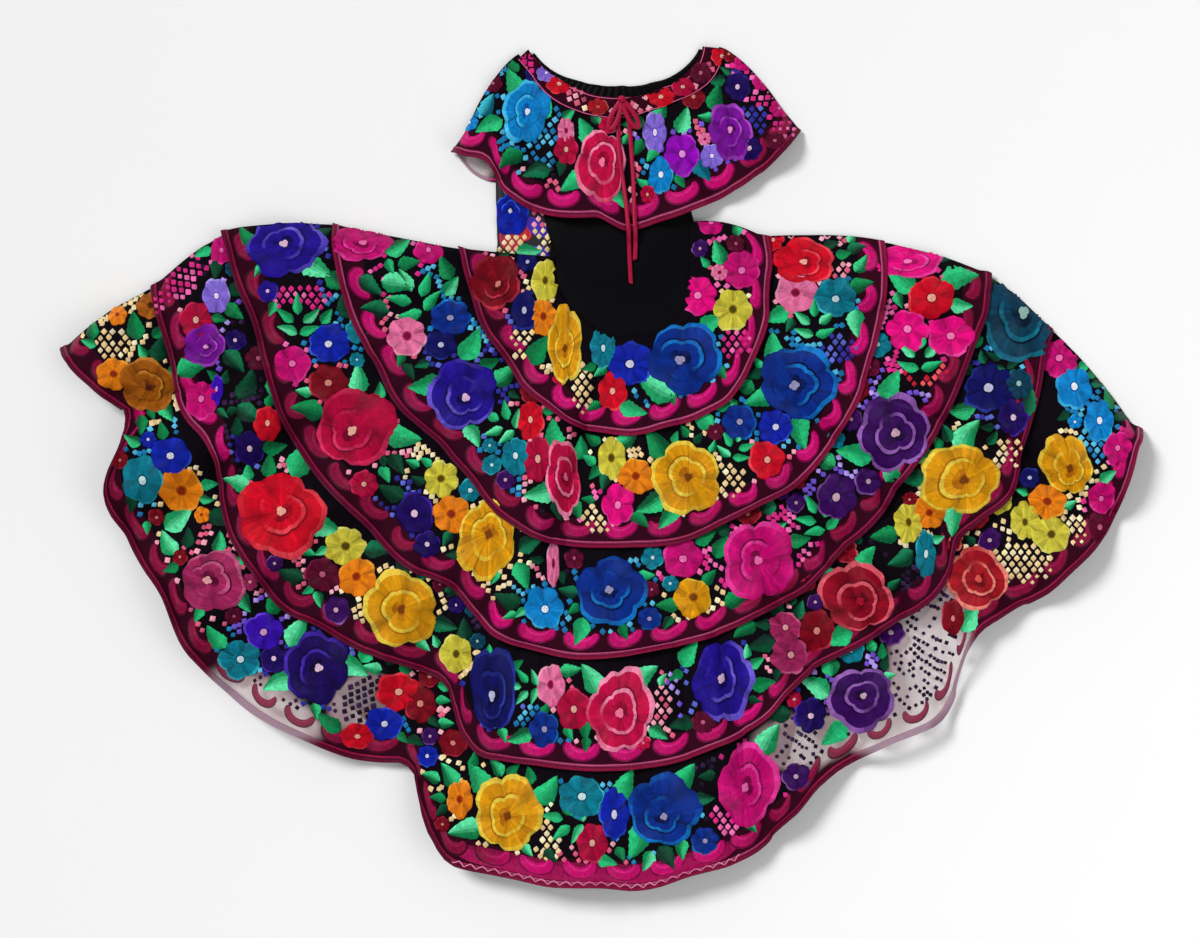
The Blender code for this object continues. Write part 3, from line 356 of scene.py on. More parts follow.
# Embroidered motifs, by pixel of the photograph's frame: size in pixels from side to side, ratio of
# the height to it, and a turn in degrees
Rose = namedtuple("Rose", "px py size ratio turn shade")
Flower = namedtuple("Flower", "px py size ratio shade")
Leaf = namedtuple("Leaf", "px py size turn shade")
Sprig = namedtuple("Sprig", "px py size turn shade")
Net = namedtuple("Net", "px py size ratio turn shade")
SKIRT_BLOOMS = [
    Net(180, 285, 94, 0.26, 44, "magentadot"), Flower(221, 252, 24, 1.2, "magenta"),
    Net(114, 346, 40, 0.8, 0, "creamdot"), Flower(115, 376, 36, 0.9, "orange"),
    Rose(148, 386, 52, 1.1, 40, "brown"), Flower(196, 322, 34, 1.2, "crimson"),
    Rose(204, 347, 42, 1.05, -20, "purple"), Flower(217, 392, 15, 2.2, "violet"),
    Flower(216, 298, 30, 1.2, "lavender"), Leaf(194, 370, 36, 20, "mint"),
    # The forest leaves and night flower in the left fold are in the darkest silks as painted shade
    Flower(202, 402, 34, 1.2, "magenta"), Leaf(246, 386, 34, 70, "forest"),
    Leaf(252, 416, 32, -30, "forest"), Flower(250, 450, 30, 1.2, "night"),
    Flower(268, 425, 28, 1.3, "red"), Rose(495, 285, 52, 1.1, 0, "darkred"),
    Net(524, 346, 30, 1.1, 0, "creamdot"), Net(582, 390, 20, 2.6, 0, "creamdot"),
    Flower(545, 282, 28, 1.5, "yellow"), Flower(524, 312, 28, 1.5, "navy"),
    Flower(543, 318, 28, 1.4, "orange"), Rose(565, 346, 34, 2.4, 0, "gold"),
    Leaf(540, 352, 34, 60, "green"), Flower(603, 350, 28, 1.6, "teal"),
    Flower(630, 366, 50, 0.95, "royal"), Flower(613, 393, 32, 1.25, "red"),
    Leaf(656, 388, 44, 150, "mint"), Leaf(680, 316, 34, -60, "mint"), Rose(684, 358, 78, 0.95, 0, "blue"),
    Flower(698, 297, 42, 0.95, "hotpink"), Flower(733, 311, 38, 1.15, "yellow"),
    Leaf(713, 326, 30, 30, "mint"), Net(737, 346, 30, 1.0, 0, "magentadot"),
    Flower(742, 272, 40, 1.0, "magenta"), Flower(720, 274, 18, 1.0, "pink"),
    Rose(362, 246, 64, 0.6, 0, "magenta"), Leaf(398, 286, 34, -10, "mint"),
    Sprig(416, 301, 52, 30, "mint"), Flower(407, 338, 42, 1.0, "pink"), Flower(450, 320, 42, 0.9, "blue"),
    Flower(441, 347, 34, 0.9, "navy"), Rose(461, 396, 74, 1.0, 10, "indigo"),
    Leaf(470, 346, 36, 60, "mint"), Leaf(425, 386, 36, 190, "mint"), Leaf(505, 376, 32, 40, "green"),
    Flower(531, 422, 28, 1.5, "red"), Flower(516, 458, 30, 1.35, "teal"), Sprig(505, 426, 42, 60, "mint"),
    Flower(538, 461, 30, 1.6, "crimson"), Rose(563, 480, 36, 2.3, 6, "pinkring"),
    Flower(553, 566, 13, 4.0, "pink"), Leaf(556, 436, 32, 100, "mint"), Leaf(540, 495, 34, 190, "mint"),
    Flower(612, 460, 30, 1.45, "yellow"), Flower(636, 478, 38, 1.0, "orange"),
    Rose(686, 478, 74, 1.05, 0, "gold"), Leaf(655, 446, 36, 120, "green"),
    Leaf(650, 505, 34, 210, "green"), Flower(618, 507, 34, 1.35, "hotpink"),
    Net(730, 480, 30, 1.9, 0, "creamdot"), Sprig(735, 450, 36, -20, "mint"),
    Flower(740, 424, 36, 1.0, "blue"), Net(600, 520, 34, 0.9, 0, "creamdot"),
    Flower(767, 462, 36, 1.1, "red"), Flower(776, 429, 36, 1.0, "royal"),
    Rose(799, 386, 84, 0.9, 0, "blue"), Leaf(776, 350, 34, 100, "mint"), Leaf(802, 434, 36, -80, "mint"),
    Leaf(760, 401, 32, 200, "mint"), Net(840, 350, 44, 0.7, 0, "navydot"),
    Flower(836, 300, 44, 0.9, "teal"), Flower(796, 294, 42, 1.0, "pink"),
    Net(831, 272, 34, 0.8, 0, "pinkdot"), Rose(804, 262, 66, 0.7, 0, "red"),
    Sprig(815, 326, 42, 0, "mint"), Rose(286, 248, 76, 0.8, 0, "indigo"), Leaf(316, 269, 38, -30, "mint"),
    Net(300, 303, 66, 0.5, 0, "magentadot"), Sprig(298, 324, 44, 0, "mint"),
    Flower(328, 346, 44, 0.9, "royal"), Flower(292, 366, 40, 1.0, "magenta"),
    Flower(328, 385, 42, 0.9, "darkred"), Leaf(357, 381, 32, 90, "mint"),
    Rose(355, 431, 82, 1.0, 0, "crimson"), Leaf(307, 413, 34, 170, "green"),
    Leaf(403, 438, 38, -10, "mint"), Flower(441, 481, 38, 1.0, "yellow"),
    Flower(415, 516, 40, 1.1, "night"), Flower(451, 516, 40, 1.0, "orange"),
    Rose(488, 540, 62, 1.35, -10, "gold"), Flower(545, 611, 40, 1.1, "sky"),
    Rose(610, 596, 74, 1.0, 0, "blue"), Flower(683, 561, 42, 1.0, "magenta"),
    Flower(693, 599, 40, 1.0, "gold"), Rose(759, 562, 74, 1.08, 0, "magenta"),
    Flower(836, 499, 42, 1.15, "plum"), Flower(868, 484, 30, 1.0, "plum"),
    Leaf(722, 549, 26, 60, "green"), Leaf(738, 600, 30, 30, "green"), Sprig(820, 522, 44, 30, "mint"),
    Rose(896, 432, 76, 1.0, 0, "plum"), Leaf(893, 389, 36, 70, "mint"), Leaf(855, 456, 38, 170, "mint"),
    Leaf(895, 470, 32, 60, "mint"), Flower(908, 331, 44, 1.0, "hotpink"),
    Flower(951, 338, 48, 0.9, "hotpink"), Sprig(920, 359, 46, 0, "mint"),
    Net(922, 374, 52, 0.5, 0, "reddot"), Flower(931, 300, 50, 0.9, "red"),
    Leaf(900, 282, 36, 140, "mint"), Leaf(960, 281, 40, 10, "mint"),
    Rose(908, 262, 74, 0.5, 0, "hotpink"), Flower(144, 482, 42, 1.2, "teal"),
    Flower(172, 458, 44, 0.9, "royal"), Flower(181, 492, 46, 1.0, "orange"),
    Leaf(178, 520, 36, 40, "mint"), Rose(278, 516, 88, 1.0, 0, "red"), Leaf(303, 461, 42, 60, "mint"),
    Leaf(326, 530, 36, -20, "mint"), Flower(345, 548, 42, 1.0, "yellow"),
    Flower(322, 576, 36, 1.0, "wine"), Flower(357, 579, 40, 1.0, "orange"),
    Rose(400, 610, 80, 1.0, 0, "gold"), Flower(456, 656, 34, 1.2, "yellow"),
    Rose(494, 695, 48, 1.85, 0, "navy"), Sprig(528, 688, 36, 90, "mint"),
    Flower(551, 686, 30, 1.4, "pink"), Flower(574, 710, 34, 1.25, "crimson"),
    Flower(545, 730, 32, 1.2, "blue"), Rose(621, 709, 64, 1.3, 0, "pinkring"),
    Leaf(590, 680, 34, 120, "mint"), Leaf(646, 678, 32, 40, "mint"), Net(657, 706, 26, 2.4, 0, "pinkdot"),
    Net(674, 700, 16, 4.0, 8, "violetdot"), Rose(722, 683, 60, 1.4, -8, "indigo"),
    Leaf(690, 656, 30, 60, "mint"), Flower(785, 630, 34, 1.0, "mauve"),
    Flower(790, 657, 40, 1.0, "mauve"), Flower(817, 632, 36, 1.2, "darkred"),
    Rose(857, 600, 74, 1.0, 10, "redring"), Leaf(868, 560, 28, 60, "mint"),
    Leaf(836, 640, 34, 200, "mint"), Flower(908, 525, 30, 1.4, "yellow"),
    Flower(930, 514, 34, 1.05, "orange"), Rose(961, 478, 80, 0.9, 0, "gold"),
    Leaf(969, 439, 40, 60, "mint"), Leaf(953, 522, 34, 270, "mint"),
    Net(1008, 456, 32, 1.1, 0, "creamdot"), Flower(925, 556, 22, 2.2, "teal"),
    # The deepteal rose in the right fold, and the dark motifs near it further down, are in the darkest
    # silks as painted shade
    Flower(988, 390, 52, 1.0, "navy"), Rose(1022, 318, 86, 1.1, 0, "deepteal"),
    Rose(212, 582, 68, 0.95, 0, "mauve"), Flower(263, 634, 40, 1.0, "violet"),
    Flower(240, 661, 42, 1.0, "teal"), Flower(274, 661, 30, 1.0, "night"), Leaf(298, 634, 36, 60, "mint"),
    Leaf(279, 686, 34, 200, "mint"), Leaf(352, 671, 36, -20, "mint"), Rose(318, 671, 74, 1.0, 0, "night"),
    Net(366, 704, 56, 0.9, -30, "ink"), Flower(398, 694, 44, 0.9, "red"),
    Flower(420, 706, 36, 1.1, "darkred"), Flower(384, 726, 40, 0.9, "royal"),
    Flower(357, 738, 34, 0.8, "red"), Flower(460, 800, 28, 1.4, "orange"),
    Rose(509, 814, 72, 1.15, 0, "gold"), Leaf(478, 780, 36, 120, "mint"), Leaf(466, 831, 36, 190, "mint"),
    Leaf(546, 790, 36, 50, "mint"), Net(551, 828, 28, 2.4, 0, "creamdot"),
    Sprig(571, 821, 46, 80, "mint"), Flower(582, 797, 46, 0.95, "teal"),
    Flower(614, 815, 32, 1.7, "royal"), Leaf(627, 786, 34, 70, "mint"),
    Flower(592, 843, 32, 1.3, "crimson"), Rose(664, 813, 74, 1.0, 0, "blue"),
    Leaf(682, 780, 40, 50, "mint"), Leaf(636, 842, 38, 250, "mint"),
    Net(728, 816, 34, 1.4, 0, "magentadot"), Rose(747, 785, 66, 1.3, -10, "magenta"),
    Leaf(770, 741, 36, 60, "mint"), Flower(810, 718, 34, 1.0, "night"),
    Rose(860, 700, 72, 0.9, 0, "plum"), Leaf(815, 690, 34, 150, "mint"), Leaf(834, 736, 34, 220, "mint"),
    Flower(952, 620, 24, 1.5, "darkred"), Leaf(970, 619, 34, 60, "mint"),
    Rose(975, 580, 64, 1.0, 0, "coral"), Flower(1012, 420, 34, 1.1, "night"),
    Flower(1018, 386, 30, 1.1, "deepteal"), Sprig(1004, 362, 34, 10, "forest"),
    Leaf(1028, 404, 30, 80, "forest"), Net(1020, 566, 62, 0.7, 0, "creamdot"),
    Flower(1024, 524, 30, 1.3, "yellow"), Flower(1050, 536, 40, 1.0, "yellow"),
    Flower(1047, 504, 42, 0.9, "orange"), Rose(1066, 468, 68, 0.74, -58, "gold"),
    Net(1072, 532, 30, 1.2, 0, "creamdot"), Flower(1074, 389, 38, 1.2, "sky"),
    Flower(1098, 423, 32, 1.35, "sky"), Net(1088, 452, 36, 1.2, 0, "bluedot"),
    Flower(1060, 360, 42, 1.0, "magenta"), Flower(1116, 450, 30, 1.1, "magenta"),
    Flower(1102, 500, 28, 1.2, "magenta"), Flower(1100, 530, 30, 1.2, "wine"),
]
COLLAR_BLOOMS = [
    Rose(526, 113, 46, 1.45, -12, "sky"), Leaf(514, 84, 32, 115, "mint"), Leaf(489, 128, 30, 205, "mint"),
    Leaf(487, 106, 26, 60, "teal"), Leaf(545, 110, 22, 60, "green"),
    Net(548, 138, 36, 1.9, -8, "bluedot"), Flower(566, 151, 26, 1.3, "crimson"),
    Flower(566, 132, 18, 1.6, "pink"), Rose(601, 166, 56, 1.5, 0, "pinkring"),
    Leaf(584, 132, 28, 110, "mint"), Leaf(574, 184, 32, 215, "mint"),
    Flower(655, 134, 25, 1.8, "lavender"), Flower(682, 156, 38, 1.2, "orchid"),
    Flower(661, 177, 25, 1.55, "sky"), Leaf(683, 121, 28, 70, "mint"), Leaf(702, 172, 28, -50, "teal"),
    Flower(712, 158, 24, 1.1, "lavender"), Flower(705, 141, 14, 1.0, "pink"),
    Leaf(716, 98, 28, 75, "green"), Rose(730, 134, 44, 1.35, 15, "purple"),
    Net(752, 122, 30, 1.2, 0, "navydot"), Net(761, 99, 104, 0.3, -51, "magentadot"),
    Flower(775, 143, 22, 0.8, "wine"), Flower(744, 63, 19, 1.0, "magenta"),
    Flower(762, 83, 19, 1.0, "magenta"), Flower(779, 110, 19, 1.0, "magenta"),
    Flower(738, 88, 26, 1.2, "night"), Flower(750, 150, 26, 1.0, "night"),
    Flower(648, 196, 18, 1.1, "crimson"),
]
BAND_BLOOMS = [
    Net(524, 63, 28, 0.9, 40, "magentadot"), Flower(546, 74, 20, 0.9, "lavender"),
    Flower(559, 85, 26, 0.8, "red"), Net(576, 97, 26, 0.8, -25, "pinkdot"),
    Flower(598, 108, 22, 0.8, "coral"), Net(612, 112, 18, 0.6, 0, "pinkdot"),
    Net(643, 105, 18, 0.8, 15, "pinkdot"), Flower(661, 98, 28, 0.8, "red"),
    Flower(683, 88, 25, 0.8, "crimson"), Flower(701, 74, 22, 1.0, "wine"),
    Flower(722, 57, 22, 1.0, "red"),
]
CORNER_BLOOMS = [
    Flower(520, 184, 34, 0.9, "magenta"), Rose(512, 214, 36, 1.25, 0, "royal"),
    Net(534, 214, 26, 1.4, 0, "pinkdot"), Net(516, 250, 44, 0.6, 0, "creamdot"),
    Net(543, 244, 26, 1.5, 0, "creamdot"), Leaf(529, 252, 26, 0, "mint"),
]

# Places where one layer of cloth lies on the pale surface, and places where the cloth folds away into
# shade, where the darkest silks are worked as painted shade, as ellipses in the photograph's frame
Zone = namedtuple("Zone", "px py half_x half_y turn strength")
SHEER_ZONES = [
    Zone(930, 658, 74, 40, 96, 1.0), Zone(886, 722, 52, 34, -12, 1.0), Zone(806, 742, 54, 26, -10, 0.95),
    Zone(266, 706, 62, 22, 28, 0.95), Zone(362, 704, 34, 26, -30, 0.9), Zone(470, 168, 24, 16, 20, 1.0),
]
PAINTED_SHADE_ZONES = [
    Zone(243, 392, 24, 84, 0, 1.0), Zone(1006, 372, 40, 82, 10, 1.0), Zone(738, 100, 30, 40, 0, 1.0),
    Zone(196, 296, 34, 50, 44, 1.0), Zone(556, 560, 20, 60, -30, 1.0), Zone(548, 140, 24, 40, 0, 1.0),
    Zone(448, 598, 26, 70, -42, 1.0), Zone(708, 790, 16, 60, -12, 1.0), Zone(880, 560, 60, 20, 40, 1.0),
]

# Places round which the borders' silk is bright magenta; it turns to wine outside them
Glow = namedtuple("Glow", "px py reach")
BORDER_GLOWS = [
    Glow(600, 660, 160), Glow(620, 850, 150), Glow(690, 350, 200), Glow(840, 400, 110),
    Glow(730, 735, 80), Glow(390, 255, 110), Glow(196, 420, 70), Glow(870, 265, 90), Glow(600, 160, 170),
    Glow(1120, 450, 60),
]

# Rings of stitches of a rose, from its heart out, and of a small flower, with the share of the way
# round that each one's tint shows
Ring = namedtuple("Ring", "reach rise tint all_round")
ROSE_RINGS = [
    Ring(0.0, 0.95, "heart", 1.0), Ring(0.12, 0.85, "heart", 1.0), Ring(0.17, 0.4, "dark", 0.9),
    Ring(0.28, 0.66, "dark", 0.4), Ring(0.38, 0.92, "main", 0.2), Ring(0.47, 0.95, "main", 0.4),
    Ring(0.56, 0.82, "light", 0.35), Ring(0.61, 0.4, "dark", 0.6), Ring(0.7, 0.8, "main", 0.0),
    Ring(0.8, 1.0, "main", 0.3), Ring(0.89, 0.9, "main", 0.3), Ring(0.96, 0.6, "light", 0.4),
    Ring(1.0, -0.3, "light", 0.4),
]
FLOWER_RINGS = [
    Ring(0.0, 0.8, "heart", 1.0), Ring(0.17, 0.7, "heart", 1.0), Ring(0.23, 0.42, "dark", 1.0),
    Ring(0.38, 0.72, "main", 0.2), Ring(0.66, 0.95, "main", 0.4), Ring(0.88, 0.72, "main", 0.2),
    Ring(0.96, 0.35, "light", 0.1), Ring(1.0, -0.3, "light", 0.1),
]
ROSE_SPOKES = 52
FLOWER_SPOKES = 30
FRAY = 0.018
NOTCH_DEPTH = 0.40
# Painted shade in the petals' notches: share by which the silk is darkened there
NOTCH_PAINTED_SHADE = 0.45
LEAF_RATIO = 0.66
LEAF_GRID = (13, 7)
LEAF_WIDEST = 0.30
ROSE_LIFT = 0.0023
FLOWER_LIFT = 0.0017
LEAF_LIFT = 0.0011
KNOT_LIFT = 0.0004
Leaflet = namedtuple("Leaflet", "aside out lean")
SPRIG_LEAFLETS = [
    Leaflet(0, 0.42, 90), Leaflet(-0.3, 0.16, 140), Leaflet(0.3, 0.16, 40), Leaflet(-0.26, -0.18, 160),
    Leaflet(0.26, -0.18, 20),
]

# Filling: where it starts, as a share of the scallops' depth, and ends below the seam, the area of cloth
# for each try, the greatest size, the least room, a leaf's greatest gap to a flower, and the draw below
# which each kind is worked
FILLING_START = 0.7
SKIRT_FILLING_INSET = 0.024
COLLAR_FILLING_INSET = 0.012
TRY_AREA = 0.00013
FILLING_SIZE = 0.052
FILLING_ROOM = 0.009
FLOWER_ROOM = 0.013
LEAF_GAP = 0.06
LEAF_DRAW = 0.42
SAME_SILK_DRAW = 0.56
FLOWER_DRAW = 0.70

# Rows of knots: their distance as a share of the knots', how far a knot strays, its least room, the gap
# to a flower past which it is near-black ink in a shade zone, as painted shade, and the neckband's inset
ROW_SHARE = 0.72
KNOT_STRAY = 0.0006
KNOT_ROOM = 0.003
PAINTED_SHADE_GAP = 0.010
BAND_KNOT_INSET = 0.006

# Thinness from which a place counts as thin, and share of a shade zone from which it is worked in painted
# shade
THIN = 0.4
PAINTED_SHADE_FROM = 0.5

# Stitched lines along a hem: distance up from it, width, rise and crown, and the silks away from the
# borders' bright places and in them, with the thread of each strip
Line = namedtuple("Line", "up width rise crown low high threads")
HEM_LINES = [
    Line(0.0030, 0.0060, 0.0004, 0.35, "wine", "maroon", "main main main"),
    Line(0.0098, 0.0080, 0.0005, 0.5, "maroon", "edging", "dark main light dark"),
]
COLLAR_BACK_LINE = Line(0.0040, 0.0060, 0.0004, 0.6, "maroon", "border", "dark main main dark")
BAND_LINE = Line(0.0025, 0.0020, 0.0006, 1.0, "pink", "pink", "dark main main dark")
BAND_LINE_INSET = 0.0030
LINE_COLUMNS = 260
SCALLOP_ARC = 1.92
SCALLOP_THREADS = "dark main main main light main"
SCALLOP_RISE = 0.0008
BLOUSE_RELIEF = 0.7

# Height of the wine-coloured tulle over a hem, as a share of the scallops' depth, and on the neckband
HEM_TINT = 0.8
BAND_TINT = 0.1

# Middle of the lowest hem: its ends by pixel, the solid strip behind the scallops and the zigzag
CENTRE_HEM = (450, 742)
CENTRE_HEM_TOP = -0.60
STRIP_UP = 0.031
STRIP_WIDTH = 0.034
STRIP_RISE = 0.0004
ZIGZAG_UP = 0.0045
ZIGZAG_HEIGHT = 0.008
ZIGZAG_STEP = 0.011
ZIGZAG_WIDTH = 0.0018
ZIGZAG_RISE = 0.0020


def mix(a, b, share):
    """Go from a to b by a share."""
    return a + (b - a) * share


def ease(value, starts=0.0, over=1.0):
    """Smooth step from 0 to 1."""
    share = np.clip((value - starts) / over, 0.0, 1.0)
    return share * share * (3.0 - 2.0 * share)


def shares(count):
    """Even shares from 0 to 1."""
    return np.linspace(0.0, 1.0, count)


def unit(vectors):
    """Vectors of length one."""
    return vectors / np.maximum(np.linalg.norm(vectors, axis=-1, keepdims=True), 1e-9)


def run_along(points):
    """Distance of each row of points from the first, along the way through them."""
    steps = np.linalg.norm(np.diff(points, axis=0), axis=-1)
    return np.concatenate([np.zeros((1, *steps.shape[1:])), np.cumsum(steps, axis=0)])


def layer(count):
    """Mid height of a wall that lies on a number of others."""
    return WALL / 2 + count * LAYER


def read(rows, name, at, key="bearing"):
    """Read a column of a table, straight between its rows."""
    return np.interp(at, [getattr(row, key) for row in rows], [getattr(row, name) for row in rows])


def read_soft(rows, name, at, spread, key="bearing"):
    """Read a column with its corners rounded over a spread."""
    steps = (-1.0, -0.5, 0.0, 0.5, 1.0)
    return sum(read(rows, name, at + step * spread, key) for step in steps) / len(steps)


def polar(centre, bearing, reach, height=0.0):
    """Points at bearings and reaches from a centre."""
    angle = np.radians(bearing)
    x = centre[0] + reach * np.sin(angle)
    y = centre[1] - reach * np.cos(angle)
    return np.stack(np.broadcast_arrays(x, y, height), axis=-1)


def fold_rise(fold, bearing, reach):
    """Height of one fold at a place."""
    length = fold.full - fold.starts
    left = ease(bearing, fold.left_foot, fold.left_top - fold.left_foot)
    right = ease((fold.right_foot - bearing) / (fold.right_foot - fold.right_top))
    left_over = 1.0 - ease((reach - fold.ends + length) / length)
    return fold.height * left * right * ease(reach, fold.starts, length) * left_over


def crease_rise(crease, bearing, reach):
    """Height of one fine crease or drop at a place."""
    along = np.clip((reach - crease.starts) / (crease.ends - crease.starts), 0.0, 1.0)
    middle = crease.bearing + crease.slant * along
    aside = reach * np.radians(bearing - middle) / crease.width
    if crease.height < 0:
        aside = np.where(aside < 0, aside * DROP_STEEPNESS, aside)
    return crease.height * np.exp(-aside * aside) * np.sin(np.pi * along) ** 0.7


def sides_at(sides, reach):
    """Bearings of the two side folds at a reach."""
    return [read_soft(side, "bearing", reach, 0.02, "reach") for side in sides]


def draped(centre, sides, roll, creases, bearing, reach, full, edge):
    """Points of folded cloth with its creases, curved down to an edge height at its sides."""
    low, high = sides_at(sides, reach)
    distance = np.maximum(0.0, reach * np.radians(np.minimum(bearing - low, high - bearing)))
    full = full + sum(crease_rise(crease, bearing, reach) for crease in creases)
    share = np.minimum(distance / roll, 1.0)
    return polar(centre, bearing, reach, edge + (full - edge) * np.sin(share * np.pi / 2))


def skirt_point(bearing, reach):
    """Points of the folded front of the skirt, without its flounces' own waves."""
    rest = mix(layer(3), layer(2), ease(reach, 0.15, 0.16))
    loft = SKIRT_LOFT * ease(reach, 0.16, 0.3)
    full = rest + loft + sum(fold_rise(fold, bearing, reach) for fold in SKIRT_FOLDS)
    edge = mix(full, layer(0) + SEAM_GAP, ease(reach, 0.25, 0.10))
    return draped(WAIST_CENTRE, SKIRT_SIDES, SKIRT_ROLL, SKIRT_CREASES, bearing, reach, full, edge)


def collar_point(bearing, reach):
    """Points of the folded front of the collar flounce, without its hem's waves."""
    rest = mix(layer(3), layer(2), ease(np.abs(bearing), 45, 20))
    rest = rest + COLLAR_CLEARANCE * ease(reach - band_reach("lower", bearing), 0.008, 0.10)
    full = rest + sum(fold_rise(fold, bearing, reach) for fold in COLLAR_FOLDS)
    edge = mix(full, layer(1) + SEAM_GAP, ease(reach, 0.215, 0.05))
    return draped(NECK_CENTRE, COLLAR_SIDES, COLLAR_ROLL, COLLAR_CREASES, bearing, reach, full, edge)


def surface_normal(point_at, bearing, reach):
    """Upward normals of a surface given by bearing and reach."""
    turn, step = 0.35, 0.006
    across = point_at(bearing + turn, reach) - point_at(bearing - turn, reach)
    along = point_at(bearing, reach + step) - point_at(bearing, reach - step)
    return unit(np.cross(along, across))


def place(share, reach_at, sides):
    """Bearings and reaches of columns where they cross a line round the fan."""
    bearing = mix(sides[0][0].bearing, sides[1][0].bearing, share)
    for _ in range(8):
        bearing = mix(*sides_at(sides, reach_at(bearing)), share)
    return bearing, reach_at(bearing)


def wave(share, count, shift):
    """Uneven ruffle wave from 0 to 1 along a hem."""
    phase = count * share + 0.20 * np.sin(TURN * (3 * share + 0.3 * shift))
    size = 0.72 + 0.28 * np.sin(TURN * (2.3 * share + 0.37 * shift))
    return size * (0.5 - 0.5 * np.cos(TURN * phase + shift))


def hem_reach(number, bearing):
    """Reach of a front flounce's hem, 0 being the waist seam, without ripples."""
    return read_soft(SKIRT_PLAN, f"tier_{number}" if number else "waist", bearing, 2.0)


def skirt_line(number, share, before_hem=0.0):
    """Bearing and reach of the columns on a front flounce's hem, or short of it."""
    def reach_at(bearing):
        reach = hem_reach(number, bearing) - before_hem
        if number > 0:
            tier = TIERS[number - 1]
            reach = reach - tier.ripple * wave(share, tier.waves, number)
        return reach
    return place(share, reach_at, SKIRT_SIDES)


def back_line(number, share):
    """Bearing and reach of the columns on a back flounce's hem."""
    def reach_at(bearing):
        return hem_reach(number, bearing) * read(BACK_SHARES, "share", bearing) - BACK_INSET
    bearing, reach = place(share, reach_at, SKIRT_SIDES)
    return bearing + np.degrees(BACK_INSET / reach) * (1.0 - 2.0 * share), reach


def band_reach(edge, bearing):
    """Reach of an edge of the neckband."""
    return read_soft(NECKBAND, edge, bearing, 5.0)


def back_band_reach(bearing):
    """Reach of the lower edge of the back neckband."""
    return band_reach("back_upper", bearing) + BACK_BAND_WIDTH


def band_height(bearing):
    """Mid height of the front band, lower where it passes over the shoulders."""
    start, end = BAND_SHOULDER
    return mix(layer(4), layer(3), ease(np.abs(bearing), start, end - start))


def collar_hem(side, bearing):
    """Reach of the collar flounce's hem."""
    return read_soft(COLLAR_HEM, side, bearing, 2.0)


def grid_faces(rows, columns, closed=False, looped=False):
    """Quads of a grid of points; its rows may close on themselves, and its last row meet its first."""
    down, across = rows - (not looped), columns - (not closed)
    j, k = np.meshgrid(np.arange(down), np.arange(across), indexing="ij")
    below, after = (j + 1) % rows * columns, (k + 1) % columns
    corners = (j * columns + k, below + k, below + after, j * columns + after)
    return np.stack([corner.ravel() for corner in corners], axis=-1)


def capped(points, sides, looped=False):
    """Points and quads of a tube of rings, its ends closed unless its last ring meets its first."""
    count = len(points)
    points = points.reshape(-1, 3)
    faces = [grid_faces(count, sides, closed=True, looped=looped)[:, [0, 3, 2, 1]]]
    k = np.arange(0, sides, 2)
    for start, order in () if looped else ((0, -1), ((count - 1) * sides, 1)):
        ring = [start + k, start + (k + 1) % sides, start + (k + 2) % sides]
        faces.append(np.stack([*ring, np.full_like(k, len(points))], axis=-1)[:, ::order])
        points = np.concatenate([points, [points[start:start + sides].mean(axis=0)]])
    return points, np.concatenate(faces)


def pixel_place(px, py):
    """Plan position under a pixel of the photograph's frame."""
    return (px - ORIGIN_PX) * PIXEL, (ORIGIN_PY - py) * PIXEL


def pixels_over(points):
    """Pixels of the photograph's frame over some points."""
    return points[:, 0] / PIXEL + ORIGIN_PX, ORIGIN_PY - points[:, 1] / PIXEL


def border_glow(points):
    """How bright the borders' silk is at some points."""
    px, py = pixels_over(points)
    far = [np.hypot(px - glow.px, py - glow.py) / glow.reach for glow in BORDER_GLOWS]
    return 1.0 - ease(np.min(far, axis=0), 0.6, 0.5)


def within(zones, points):
    """How far inside the nearest of some zones points are, from 0 to 1."""
    px, py = pixels_over(points)
    found = np.zeros(len(points))
    for zone in zones:
        u, v = turned(px - zone.px, py - zone.py, -zone.turn)
        far = np.hypot(u / zone.half_x, v / zone.half_y)
        found = np.maximum(found, zone.strength * ease((1.15 - far) / 0.35))
    return found


def turned(x, y, degrees):
    """Plan offsets turned by an angle."""
    angle = math.radians(degrees)
    c, s = math.cos(angle), math.sin(angle)
    return x * c - y * s, x * s + y * c


